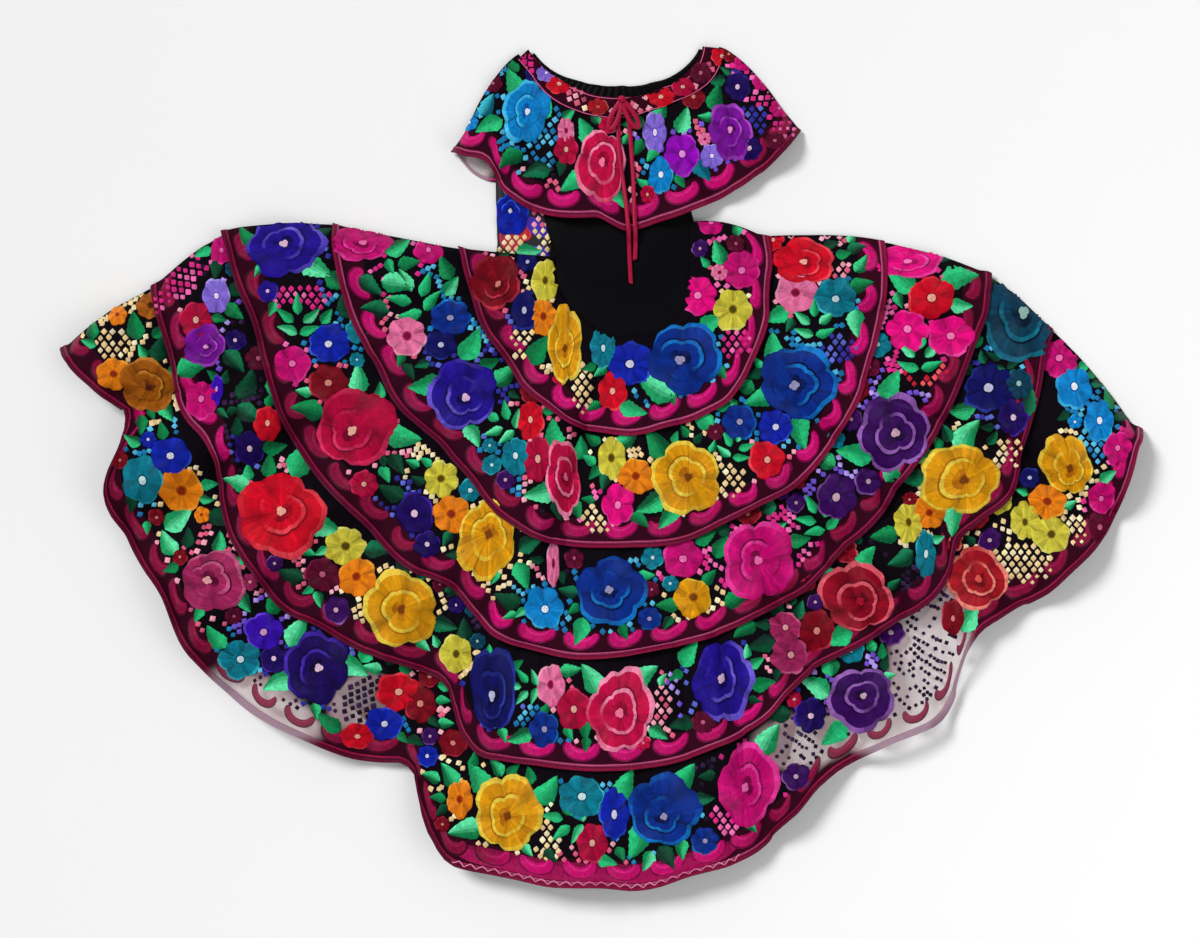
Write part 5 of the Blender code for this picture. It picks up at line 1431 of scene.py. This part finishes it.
def back_material(name, ground):
    """Embroidered tulle of the hidden side: scattered flowers of the same silks on the dark ground."""
    material, tree, surface = new_material(name)
    place_out = thread_place(tree)
    cells = node(tree, "ShaderNodeTexVoronoi", {"voronoi_dimensions": "2D"},
                 Vector=place_out, Scale=14.0, Randomness=0.75)
    drawn = node(tree, "ShaderNodeSeparateXYZ", Vector=cells.outputs["Color"]).outputs[0]
    ramp = node(tree, "ShaderNodeValToRGB", Fac=drawn)
    ramp.color_ramp.interpolation = "CONSTANT"
    elements = ramp.color_ramp.elements
    while len(elements) < len(BACK_SHADES):
        elements.new(0.5)
    for number, shade in enumerate(BACK_SHADES):
        elements[number].position = number / len(BACK_SHADES)
        elements[number].color = (*SILK[shade]["main"], 1.0)
    distance = maths(tree, "MULTIPLY", cells.outputs["Distance"], 2.3)
    inside = maths(tree, "LESS_THAN", distance, 0.72)
    rings = maths(tree, "SINE", maths(tree, "MULTIPLY", distance, 21.0))
    petal = maths(tree, "MULTIPLY_ADD", rings, 0.25, 0.8)
    flower = blended(tree, 1.0, ramp.outputs[0], petal, "MULTIPLY")
    stitch = group_node(tree, "Satin stitch", Place=place_out, Thread_width=0.0016, Streak=0.5)
    fill(tree, surface, Base_Color=blended(tree, inside, (*ground, 1.0), flower), Roughness=0.6,
         Normal=bump(tree, stitch["Height"], 0.4, 0.0004))
    return material


def satin_material(name, colour, roughness=0.44, streak=0.5, gloss=0.05):
    """Smooth satin with a faint warp."""
    material, tree, surface = new_material(name)
    stitch = group_node(tree, "Satin stitch", Place=thread_place(tree), Thread_width=0.0012, Streak=streak)
    fill(tree, surface, Base_Color=blended(tree, 1.0, (*colour, 1.0), stitch["Streaks"], "MULTIPLY"),
         Roughness=maths(tree, "MULTIPLY_ADD", stitch["Height"], 0.08, roughness),
         Specular_IOR_Level=gloss, Normal=bump(tree, stitch["Height"], 0.25, 0.0002))
    return material


def floor_material(colour):
    """Pale matt floor."""
    material, tree, surface = new_material("Pale floor")
    coords = node(tree, "ShaderNodeTexCoord").outputs["Object"]
    cloud = node(tree, "ShaderNodeTexNoise", Vector=coords, Scale=3.0, Detail=3.0).outputs["Fac"]
    darker = (*(0.985 * c for c in colour), 1.0)
    fill(tree, surface, Base_Color=blended(tree, cloud, (*colour, 1.0), darker), Roughness=0.85)
    return material


def finish_piece(item, slot, *nodes):
    """Ride on the dress and stand for its solids; its slot is not used."""
    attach(item, "root")
    if nodes:
        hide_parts(*nodes)


def finish_cloth(shell, cloth, slot, solid, silk=()):
    """Finish a cloth with its embroidery."""
    finish_piece(shell, slot, solid)
    for piece in silk:
        finish_piece(piece, slot)


def between(keys, steps, pace=float):
    """Rows of values between key rows, with a number of steps in each stretch."""
    rows = []
    for first, second, count in zip(keys, keys[1:], steps):
        rows += [mix(first, second, pace(k / count)) for k in range(count)]
    return np.array(rows + [keys[-1]])


def gathers(bearings, reaches, past, settings, narrow, reach, drift, pace, shift=0.0):
    """Rise of the uneven gathers below a seam."""
    length = np.radians(bearings) * reaches
    spacing = settings.gather_width * narrow
    pleat = 0.5 + 0.5 * np.sin(TURN * (length + drift * np.sin(length * pace + shift)) / spacing)
    return settings.gather_height * pleat * (ease(past / GATHER_START) * np.exp(-(past / reach) ** 2))


def front_flounce(number, settings):
    """Cloth of one flounce of the skirt's front."""
    tier = TIERS[number - 1]
    share = shares(TIER_COLUMNS[number - 1])
    swell = wave(share, tier.waves, number)
    if number == 1:
        keys = [skirt_line(0, share), skirt_line(0, share, -FLOUNCE_LAP)]
    else:
        keys = [skirt_line(number - 1, share, FLOUNCE_LAP), skirt_line(number - 1, share)]
    lap, hem = skirt_line(number, share, FLOUNCE_LAP), skirt_line(number, share)
    keys = np.array([*keys, mix(np.array(keys[1]), np.array(lap), 0.5), lap, hem])
    bearings, reaches = between(keys, TIER_STEPS).swapaxes(0, 1)
    zero = np.zeros_like(share)
    puff = tier.puff * mix(0.6, 1.0, swell)
    hem_lift = LAYER + tier.flare + tier.wave_height * swell
    lifts = between([zero, zero, puff, zero + LAYER, hem_lift], TIER_STEPS, ease)
    seam, middle, hem = keys[[1, 2, 4], 1][:, None, :]
    lifts = lifts + gathers(bearings, reaches, reaches - seam, settings, 1.0, settings.gather_reach,
                            0.010, 31, number)
    second = wave(share, tier.waves * 2.7, number + 0.5)[None, :]
    near_hem = ease((reaches - middle) / np.maximum(hem - middle, 0.01))
    lifts = lifts + settings.hem_wave * second * near_hem
    points = skirt_point(bearings, reaches)
    points = points + surface_normal(skirt_point, bearings, reaches) * lifts[..., None]
    return Cloth(points, settings.thickness)


def back_flounce(number, settings):
    """Cloth of one flounce of the skirt's back."""
    share = shares(BACK_TIER_COLUMNS)
    hem_bearing, hem = back_line(number, share)
    low = np.full_like(share, layer(0))
    if number == 1:
        top_bearing = mix(*BACK_WAIST_ENDS, share)
        keys = [(top_bearing, hem_reach(0, top_bearing) - WAIST_LAP, low), (hem_bearing, hem, low)]
        steps = (8,)
    else:
        top_bearing, top = back_line(number - 1, share)
        high = np.full_like(share, layer(1))
        keys = [
            (top_bearing, top - FLOUNCE_LAP, high),
            (top_bearing, top + BACK_STEP, high),
            (mix(top_bearing, hem_bearing, 0.2), top + BACK_SETTLE, low),
            (hem_bearing, hem, low),
        ]
        steps = (2, 3, 8)
    rows = between(np.array(keys), steps)
    if number == 1:
        fine = np.linspace(WAIST_CORNER[0].bearing, WAIST_CORNER[-1].bearing, 30)
        inner, outer = (read(WAIST_CORNER, name, fine) for name in ("inner", "outer"))
        settled = ease(np.array([row.bearing for row in WAIST_CORNER]), CORNER_SETTLE[0],
                       CORNER_SETTLE[1] - CORNER_SETTLE[0])
        high = np.interp(fine, [row.bearing for row in WAIST_CORNER], mix(layer(1), layer(0), settled))
        down = shares(len(rows))[:, None]
        level = np.zeros_like(down)
        corner = np.stack([fine + level, mix(inner, outer, down), high + level], axis=1)
        rows = np.concatenate([corner, rows], axis=2)
    return Cloth(polar(WAIST_CENTRE, *rows.swapaxes(0, 1)), settings.thickness)


def front_collar(settings):
    """Cloth of the collar flounce's front."""
    share = shares(COLLAR_FRONT_COLUMNS)

    def line(part, extra=0.0):
        def reach_at(bearing):
            return mix(band_reach("lower", bearing), collar_hem("front", bearing), part) + extra
        return place(share, reach_at, COLLAR_SIDES)

    keys = np.array([line(0, -BAND_LAP), line(0, 0.001), line(0.4), line(0.75), line(1.0)])
    bearings, reaches = between(keys, COLLAR_STEPS).swapaxes(0, 1)
    grown = between([0.0, 0.0, 0.2, 0.5, 1.0], COLLAR_STEPS, ease)[:, None]
    lifts = grown * (COLLAR_FLARE + COLLAR_WAVE_HEIGHT * wave(share, COLLAR_WAVES, 0.5)[None, :])
    lifts = lifts + gathers(bearings, reaches, reaches - keys[1, 1], settings, 0.75, COLLAR_GATHER_REACH,
                            0.006, 43)
    points = collar_point(bearings, reaches)
    points = points + surface_normal(collar_point, bearings, reaches) * lifts[..., None]
    return Cloth(points, settings.thickness)


def back_collar(settings):
    """Cloth of the collar flounce's back."""
    share = mix(0.008, 0.992, shares(COLLAR_BACK_FINE))
    lines = [
        lambda b: back_band_reach(b) - BAND_LAP,
        lambda b: mix(back_band_reach(b), collar_hem("back", b), 0.5),
        lambda b: collar_hem("back", b),
    ]
    keys = np.array([place(share, reach_at, COLLAR_SIDES) for reach_at in lines])
    bearings, reaches = between(keys, (5, 5)).swapaxes(0, 1)
    return Cloth(polar(NECK_CENTRE, bearings, reaches, layer(0)), settings.thickness)


def front_band(settings):
    """Cloth of the front neckband, puckered along its drawstring."""
    share = shares(BAND_COLUMNS)
    high, low = mix(*BAND_ENDS, share), mix(*BAND_LOWER_ENDS, share)
    upper = polar(NECK_CENTRE, high, band_reach("upper", high), band_height(high))
    lower = polar(NECK_CENTRE, low, band_reach("lower", low), band_height(low))
    down = shares(11)[:, None]
    points = mix(upper[None], lower[None], down[..., None])
    length = run_along(upper)
    pleat = 0.5 + 0.5 * np.sin(TURN * (length + 0.003 * np.sin(length * 90)) / BAND_PUCKER_WIDTH)
    crown = BAND_CROWN * np.sin(np.pi * down)
    points[..., 2] += crown + BAND_PUCKER * pleat[None, :] * np.sin(np.pi * down) ** 0.5
    return Cloth(points, settings.thickness)


def back_band(settings):
    """Cloth of the back neckband."""
    share = shares(BAND_COLUMNS)
    high, low = mix(*BACK_BAND_ENDS, share), mix(*BACK_BAND_LOWER_ENDS, share)
    upper = polar(NECK_CENTRE, high, band_reach("back_upper", high), layer(1))
    lower = polar(NECK_CENTRE, low, back_band_reach(low), layer(1))
    points = mix(upper[None], lower[None], shares(9)[:, None, None])
    ripple = np.sin(TURN * run_along(upper) / BACK_BAND_PUCKER_WIDTH)
    points[..., 2] += BACK_BAND_PUCKER * ripple[None, :]
    return Cloth(points, settings.thickness)


def bodice_panel(level, bulge, side_bow, top_reach, settings):
    """Cloth of one satin panel from the neckband down to the waist."""
    u = shares(BODICE_FINE)
    bearing = mix(*BODICE_TOP, u)
    top = polar(NECK_CENTRE, bearing, top_reach(bearing))
    bearing = mix(*BODICE_BOTTOM, u)
    bottom = polar(WAIST_CENTRE, bearing, hem_reach(0, bearing) + WAIST_LAP)
    v = shares(41)[:, None]
    points = mix(top[None], bottom[None], v[..., None])
    bowed = ease(v / BODICE_BOW_FULL) * ease((BODICE_BOW_ENDS - v) / BODICE_BOW_FADE)
    points[..., 0] -= side_bow * bowed * (1 - u)[None, :]
    from_neck = np.hypot(points[..., 0] - NECK_CENTRE[0], points[..., 1] - NECK_CENTRE[1])
    swell = ease(from_neck, BODICE_BULGE_STARTS, BODICE_BULGE_GROWTH)
    swell = swell * np.sin(np.pi * u)[None, :] * ease((BODICE_BULGE_ENDS - v) / 0.3)
    points[..., 2] = layer(level) + bulge * swell
    if bulge > 0:
        width = np.linalg.norm(points[:, -1] - points[:, 0], axis=-1)[:, None]
        for pucker in BODICE_PUCKERS:
            aside = (u[None, :] - pucker.across) * width / pucker.width
            run = np.clip((v - pucker.starts) / (pucker.ends - pucker.starts), 0.0, 1.0)
            points[..., 2] += pucker.height * np.exp(-aside * aside) * np.sin(np.pi * run) ** 0.6
    return Cloth(points, settings.thickness)


def smooth_route(stops):
    """Points at an even spacing along a smooth curve through a route's stops."""
    route = [Vector(stop) for stop in stops]
    ends = [2 * route[0] - route[1], *route, 2 * route[-1] - route[-2]]
    fine, parts = [], 12
    for before, start, end, after in zip(ends, ends[1:], ends[2:], ends[3:]):
        for t in np.arange(parts) / parts:
            bend = (2 * before - 5 * start + 4 * end - after) * t * t
            turn = (3 * start - before - 3 * end + after) * t * t * t
            fine.append(start + 0.5 * ((end - before) * t + bend + turn))
    fine = np.array([*fine, route[-1]])
    lengths = run_along(fine)
    wanted = np.linspace(0.0, lengths[-1], round(lengths[-1] / STOP_SPACING) + 1)
    return np.stack([np.interp(wanted, lengths, axis) for axis in fine.T], axis=-1)


def ribbon_mesh(name, route, width, depth, material, closed=False, slant=0.0, twist=0.0):
    """Flat ribbon along a route, oval in section."""
    if closed:
        tangents = unit(np.roll(route, -1, axis=0) - np.roll(route, 1, axis=0))
    else:
        tangents = unit(np.gradient(route, axis=0))
    across = unit(np.cross(tangents, np.array([0.0, 0.0, 1.0])))
    upward = unit(np.cross(across, tangents))
    lean = twist * np.sin(np.linspace(0.0, 3 * np.pi, len(route)))[:, None]
    wide = across * np.cos(lean) + upward * np.sin(lean)
    high = upward * np.cos(lean) - across * np.sin(lean)
    around = TURN * np.arange(RIBBON_SIDES) / RIBBON_SIDES
    u = np.sign(np.cos(around)) * np.abs(np.cos(around)) ** 0.75
    w = np.sign(np.sin(around)) * np.abs(np.sin(around)) ** 0.9
    offsets = wide[:, None] * (u * width / 2)[:, None] + high[:, None] * (w * depth / 2)[:, None]
    points = route[:, None] + offsets
    if not closed:
        points[-1] += tangents[-1] * (u * slant)[:, None]
    places = np.stack([np.tile(u * 0.004, len(route)), np.repeat(run_along(route), RIBBON_SIDES)], axis=-1)
    points, faces = capped(points, RIBBON_SIDES, closed)
    item = mesh_object(name, points, faces, material)
    places = np.concatenate([places, np.zeros((len(points) - len(places), 2))])
    lay_threads(item, places[faces.ravel()])
    return item


def loop_route(bearing):
    """Route round one loop of the bow."""
    angle = math.radians(bearing)
    down = np.array([math.sin(angle), -math.cos(angle), 0.0])
    across = np.array([-down[1], down[0], 0.0])
    turn = TURN * np.arange(40) / 40
    length = LOOP_LENGTH * 0.5 * (1 - np.cos(turn))
    spread = LOOP_WIDTH * 0.5 * np.sin(turn) * mix(0.35, 1.0, length / LOOP_LENGTH)
    start = np.array([*KNOT_CENTRE[:2], LOOP_START])
    route = start + down * length[:, None] + across * spread[:, None]
    route[:, 2] -= LOOP_DROP * ease(length / LOOP_LENGTH, LOOP_DROP_STARTS, 1.0 - LOOP_DROP_STARTS)
    return route


def knot_mesh(name, material):
    """Knot: ribbon wrapped over itself."""
    rows, columns = 19, 36
    lat = np.linspace(-np.pi / 2 + 0.02, np.pi / 2 - 0.02, rows)[:, None]
    lon = np.linspace(0.0, TURN, columns, endpoint=False)[None, :]
    groove = 1.0 - 0.10 * np.abs(np.sin(1.5 * (lon + 0.9 * lat))) ** 4 - 0.05 * np.cos(4 * lat + lon)
    x = KNOT_RADII[0] * np.cos(lat) * np.cos(lon) * groove
    y = KNOT_RADII[1] * np.cos(lat) * np.sin(lon) * groove
    z = KNOT_RADII[2] * np.sin(lat) * groove * 0.97
    points, faces = capped(np.stack([x, y, z], axis=-1) + np.array(KNOT_CENTRE), columns)
    item = mesh_object(name, points, faces, material)
    lay_threads(item, points[faces.ravel()][:, :2])
    return item


def join(items, name):
    """Join mesh objects in one."""
    bpy.ops.object.select_all(action="DESELECT")
    for item in items:
        item.select_set(True)
    bpy.context.view_layer.objects.active = items[0]
    bpy.ops.object.join()
    items[0].name = name
    return items[0]


class ClothSettings(bpy.types.PropertyGroup):
    """Sizes and colours of the cloth."""

    thickness: bpy.props.FloatProperty(
        name="Thickness", description="Thickness of the tulle with its embroidery's backing",
        default=0.0012, min=0.0003, **LENGTH)
    gather_height: bpy.props.FloatProperty(
        name="Gather height", description="Height of the gathers below each seam", default=0.0022, **LENGTH)
    gather_width: bpy.props.FloatProperty(
        name="Gather width", description="Distance from one gather to the next",
        default=0.022, min=0.005, **LENGTH)
    gather_reach: bpy.props.FloatProperty(
        name="Gather reach", description="How far the gathers run out from the seam",
        default=0.060, min=0.005, **LENGTH)
    hem_wave: bpy.props.FloatProperty(
        name="Hem ripple", description="Height of the small ripples along each hem",
        default=0.0035, **LENGTH)
    ground: bpy.props.FloatVectorProperty(
        name="Ground", description="Colour of the tulle", default=(0.0034, 0.0018, 0.0044), **COLOUR)
    hem_band: bpy.props.FloatVectorProperty(
        name="Hem band", description="Colour of the tulle along each hem",
        default=(0.034, 0.0012, 0.010), **COLOUR)
    satin: bpy.props.FloatVectorProperty(
        name="Satin", description="Colour of the bodice", default=(0.0020, 0.0017, 0.0026), **COLOUR)


class SilkSettings(bpy.types.PropertyGroup):
    """Sizes of the embroidery."""

    relief: bpy.props.FloatProperty(
        name="Relief", description="Height of the satin stitch", default=0.0018, **LENGTH)
    dot_size: bpy.props.FloatProperty(
        name="Knot size", description="Side of a square knot", default=0.0090, **LENGTH)
    dot_spacing: bpy.props.FloatProperty(
        name="Knot spacing", description="Distance from one knot to the next", default=0.0148, **LENGTH)
    scallop_width: bpy.props.FloatProperty(
        name="Scallop width", description="Distance from one scallop to the next", default=0.083, **LENGTH)
    scallop_depth: bpy.props.FloatProperty(
        name="Scallop depth", description="Depth of a scallop", default=0.043, **LENGTH)
    band_depth: bpy.props.FloatProperty(
        name="Hem band depth", description="Depth of the plain band below the scallops",
        default=0.0165, **LENGTH)
    seed: bpy.props.IntProperty(name="Seed", description="Seed of the uneven stitches", default=7)


class RibbonSettings(bpy.types.PropertyGroup):
    """Size and colour of the drawstring."""

    width: bpy.props.FloatProperty(name="Width", description="Width of the ribbon", default=0.008, **LENGTH)
    depth: bpy.props.FloatProperty(
        name="Depth", description="Depth of the folded ribbon", default=0.0046, **LENGTH)
    colour: bpy.props.FloatVectorProperty(
        name="Colour", description="Colour of the ribbon", default=(0.36, 0.001, 0.038), **COLOUR)


class StageSettings(bpy.types.PropertyGroup):
    """Camera, floor and lights."""

    camera_height: bpy.props.FloatProperty(
        name="Camera height", description="Height of the camera over the floor", default=7.5, unit="LENGTH")
    floor: bpy.props.FloatVectorProperty(
        name="Floor", description="Colour of the floor", default=(0.95, 0.95, 0.95), **COLOUR)
    key: bpy.props.FloatProperty(name="Key light", description="Strength of the main light", default=2.08)
    fill: bpy.props.FloatProperty(
        name="Fill light", description="Power of the second light in watts", default=45.0)
    sky: bpy.props.FloatProperty(name="Sky", description="Strength of the light all round", default=0.36)


def add_object(context, name, data, spot):
    """Put a light or a camera in the scene."""
    item = bpy.data.objects.new(name, data)
    item.location = spot
    context.scene.collection.objects.link(item)
    return item


class DRESS_OT_stage(bpy.types.Operator):
    """Pale floor, soft lights and the camera over the dress"""

    bl_idname = "dress.stage"
    bl_label = "Stage"

    def execute(self, context):
        settings = context.scene.dress_stage
        corners = [(x * FLOOR_HALF, y * FLOOR_HALF, FLOOR_LEVEL) for x, y in FLOOR_CORNERS]
        mesh_object("floor", corners, np.array([[0, 1, 2, 3]]), floor_material(settings.floor))
        world = bpy.data.worlds.new("Soft sky")
        world.use_nodes = True
        fill(world.node_tree, world.node_tree.nodes["Background"], Color=(1.0, 1.0, 1.0, 1.0),
             Strength=settings.sky)
        context.scene.world = world
        key = bpy.data.lights.new("key", "SUN")
        key.energy, key.angle = settings.key, math.radians(KEY_ANGLE)
        second = bpy.data.lights.new("fill", "AREA")
        second.energy, second.size = settings.fill, FILL_SIZE
        for light, spot in ((key, KEY_SPOT), (second, FILL_SPOT)):
            item = add_object(context, light.name, light, spot)
            item.rotation_euler = (-Vector(spot)).to_track_quat("-Z", "Y").to_euler()
        camera = bpy.data.cameras.new("camera")
        camera.sensor_width = 36.0
        camera.lens = camera.sensor_width * (settings.camera_height - CLOTH_LEVEL) / (PHOTO_WIDTH * PIXEL)
        spot = (*pixel_place(CAMERA_PX, CAMERA_PY), settings.camera_height)
        context.scene.camera = add_object(context, "camera", camera, spot)
        context.scene.view_settings.view_transform = "Standard"
        return {"FINISHED"}


class DRESS_OT_drawstring(bpy.types.Operator):
    """Ribbon drawstring: its bow and its two free ends"""

    bl_idname = "dress.drawstring"
    bl_label = "Drawstring"

    def execute(self, context):
        settings = context.scene.dress_ribbon
        material = satin_material("Red satin ribbon", settings.colour, 0.42, 0.6, 0.2)
        loops = [
            ribbon_mesh(f"loop_{number}", loop_route(bearing), *LOOP_SECTION, material, closed=True)
            for number, bearing in enumerate(BOW_BEARINGS, 1)
        ]
        bow = join([knot_mesh("knot", material), *loops], "ribbon_bow")
        finish_piece(bow, "red_ribbon", "drawstring_bow")
        for name, stops, slant, with_pieces in (
            ("short", SHORT_END, SHORT_SLANT, [bow]), ("long", LONG_END, LONG_SLANT, []),
        ):
            route = smooth_route(stops)
            item = ribbon_mesh(f"ribbon_end_{name}", route, settings.width, settings.depth, material,
                               slant=slant, twist=RIBBON_TWIST)
            finish_piece(item, "red_ribbon", f"drawstring_end_{name}")
            length = round(float(run_along(route)[-1]), 3)
            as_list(with_pieces)
        return {"FINISHED"}


def hem_top(silk, share):
    """Height over the hem at a share of the scallops' depth."""
    return silk.band_depth + silk.scallop_depth * share


class DRESS_OT_skirt_front(bpy.types.Operator):
    """Five embroidered flounces of the skirt's front"""

    bl_idname = "dress.skirt_front"
    bl_label = "Skirt front"

    def execute(self, context):
        settings, silk = context.scene.dress_cloth, context.scene.dress_silk
        cloths = [front_flounce(number, settings) for number in range(1, 6)]
        plain = tulle_material("Black tulle", settings, hem_top(silk, HEM_TINT))
        single = tulle_material("Black tulle, single", settings, hem_top(silk, HEM_TINT), sheer=True)
        thread = silk_material()
        listed = [[] for _ in cloths]
        for bloom in SKIRT_BLOOMS:
            points = [cloth.under(*pixel_place(bloom.px, bloom.py))[0] for cloth in cloths]
            heights = [-1.0 if point is None else point.z for point in points]
            if max(heights) > 0:
                listed[heights.index(max(heights))].append(bloom)
        for number, (cloth, blooms) in enumerate(zip(cloths, listed), 1):
            lowest = number == len(TIERS)
            name = f"flounce_{number}_front"
            shell = shell_object(name, cloth, single if lowest else plain, sheer=lowest)
            worker = Embroiderer(cloth, silk.relief, silk.seed + number, blooms, sheer=lowest)
            work_hem(worker, silk)
            if lowest:
                work_centre_hem(worker)
            work_blooms(worker, silk)
            work_filling(worker, silk, hem_top(silk, FILLING_START), cloth.depth - SKIRT_FILLING_INSET)
            embroidery = worker.build(f"{name}_silk", thread)
            finish_cloth(shell, cloth, "embroidered_tulle", f"skirt_tier_{number}_front",
                         [embroidery])
        return {"FINISHED"}


class DRESS_OT_skirt_back(bpy.types.Operator):
    """Five flounces of the skirt's back, flat under the front"""

    bl_idname = "dress.skirt_back"
    bl_label = "Skirt back"

    def execute(self, context):
        settings, silk = context.scene.dress_cloth, context.scene.dress_silk
        material = back_material("Embroidered tulle of the back", settings.ground)
        for number in range(1, 6):
            cloth = back_flounce(number, settings)
            shell = shell_object(f"flounce_{number}_back", cloth, material)
            pieces = []
            if number == 1:
                worker = Embroiderer(cloth, silk.relief, silk.seed + 20, CORNER_BLOOMS)
                work_blooms(worker, silk)
                pieces.append(worker.build("flounce_1_back_silk", silk_material()))
            finish_cloth(shell, cloth, "embroidered_tulle", f"skirt_tier_{number}_back", silk=pieces)
        return {"FINISHED"}


class DRESS_OT_collar(bpy.types.Operator):
    """Collar flounce, front and back"""

    bl_idname = "dress.collar"
    bl_label = "Collar flounce"

    def execute(self, context):
        settings, silk = context.scene.dress_cloth, context.scene.dress_silk
        front, back = front_collar(settings), back_collar(settings)
        tulle = tulle_material("Black tulle, collar", settings, hem_top(silk, HEM_TINT))
        shell = shell_object("collar_front", front, tulle)
        worker = Embroiderer(front, silk.relief, silk.seed + 11, COLLAR_BLOOMS)
        work_hem(worker, silk)
        work_blooms(worker, silk)
        work_filling(worker, silk, hem_top(silk, FILLING_START), front.depth - COLLAR_FILLING_INSET)
        embroidery = worker.build("collar_front_silk", silk_material())
        finish_cloth(shell, front, "embroidered_tulle", "collar_flounce_front",
                     [embroidery])
        thin = tulle_material("Black tulle, collar's back", settings, hem_top(silk, HEM_TINT), sheer=True)
        under = shell_object("collar_back", back, thin, sheer=True)
        worker = Embroiderer(back, silk.relief * BLOUSE_RELIEF, silk.seed + 13, sheer=True)
        hem_line(worker, COLLAR_BACK_LINE)
        border = worker.build("collar_back_silk", silk_material())
        finish_cloth(under, back, "embroidered_tulle", "collar_flounce_back", silk=[border])
        return {"FINISHED"}


class DRESS_OT_neckband(bpy.types.Operator):
    """Neckband, front and back"""

    bl_idname = "dress.neckband"
    bl_label = "Neckband"

    def execute(self, context):
        settings, silk = context.scene.dress_cloth, context.scene.dress_silk
        front, back = front_band(settings), back_band(settings)
        tulle = tulle_material("Black tulle, neckband", settings, BAND_TINT)
        shell = shell_object("band_front", front, tulle)
        worker = Embroiderer(front, silk.relief * BLOUSE_RELIEF, silk.seed + 12, BAND_BLOOMS)
        work_blooms(worker, silk)
        for up in (BAND_LINE.up, front.depth - BAND_LINE_INSET):
            hem_line(worker, BAND_LINE, up)
        knot_rows(worker, silk, BAND_KNOT_INSET, front.depth - BAND_KNOT_INSET)
        embroidery = worker.build("band_front_silk", silk_material())
        finish_cloth(shell, front, "band_embroidery", "neckband_front",
                     [embroidery])
        under = shell_object("band_back", back, satin_material("Black satin, neckband", settings.satin))
        finish_cloth(under, back, "black_satin", "neckband_back")
        return {"FINISHED"}


class DRESS_OT_bodice(bpy.types.Operator):
    """Satin bodice, front and back"""

    bl_idname = "dress.bodice"
    bl_label = "Bodice"

    def execute(self, context):
        settings = context.scene.dress_cloth
        satin = satin_material("Black satin", settings.satin)
        for side, level, bulge, side_bow, top_reach in (
            ("front", 2, BODICE_BULGE, BODICE_SIDE_BOW, lambda b: band_reach("lower", b) - BODICE_LAP),
            ("back", 1, 0.0, 0.0, lambda b: back_band_reach(b) + BODICE_BACK_GAP),
        ):
            cloth = bodice_panel(level, bulge, side_bow, top_reach, settings)
            shell = shell_object(f"satin_{side}", cloth, satin)
            finish_piece(shell, "black_satin", f"bodice_{side}")
            depth = round(cloth.area() / cloth.hem_length * BODICE_CUT, 2)
            round(cloth.area(), 3)
        return {"FINISHED"}


class DRESS_PT_panel(bpy.types.Panel):
    """Pieces of the dress and their sizes"""

    bl_label = "Chiapaneca dress"
    bl_idname = "DRESS_PT_panel"
    bl_space_type = "VIEW_3D"
    bl_region_type = "UI"
    bl_category = "Dress"

    def draw(self, context):
        for operator in OPERATORS:
            self.layout.operator(operator.bl_idname)
        for name, group in GROUPS.items():
            box = self.layout.box()
            for label in group.__annotations__:
                box.prop(getattr(context.scene, name), label)


OPERATORS = (
    DRESS_OT_stage, DRESS_OT_drawstring, DRESS_OT_skirt_front, DRESS_OT_skirt_back, DRESS_OT_collar,
    DRESS_OT_neckband, DRESS_OT_bodice,
)
GROUPS = {
    "dress_cloth": ClothSettings,
    "dress_silk": SilkSettings,
    "dress_ribbon": RibbonSettings,
    "dress_stage": StageSettings,
}


def register():
    """Register the settings, operators and panel."""
    for name, group in GROUPS.items():
        bpy.utils.register_class(group)
        setattr(bpy.types.Scene, name, bpy.props.PointerProperty(type=group))
    for operator in OPERATORS:
        bpy.utils.register_class(operator)
    bpy.utils.register_class(DRESS_PT_panel)


def unregister():
    """Take the panel, operators and settings out again."""
    bpy.utils.unregister_class(DRESS_PT_panel)
    for operator in reversed(OPERATORS):
        bpy.utils.unregister_class(operator)
    for name, group in GROUPS.items():
        delattr(bpy.types.Scene, name)
        bpy.utils.unregister_class(group)


def main():
    """Build the whole dress on its stage."""
    register()
    bpy.ops.dress.stage()
    bpy.ops.dress.drawstring()
    bpy.ops.dress.skirt_front()
    bpy.ops.dress.skirt_back()
    bpy.ops.dress.collar()
    bpy.ops.dress.neckband()
    bpy.ops.dress.bodice()


if __name__ == "__main__":
    main()
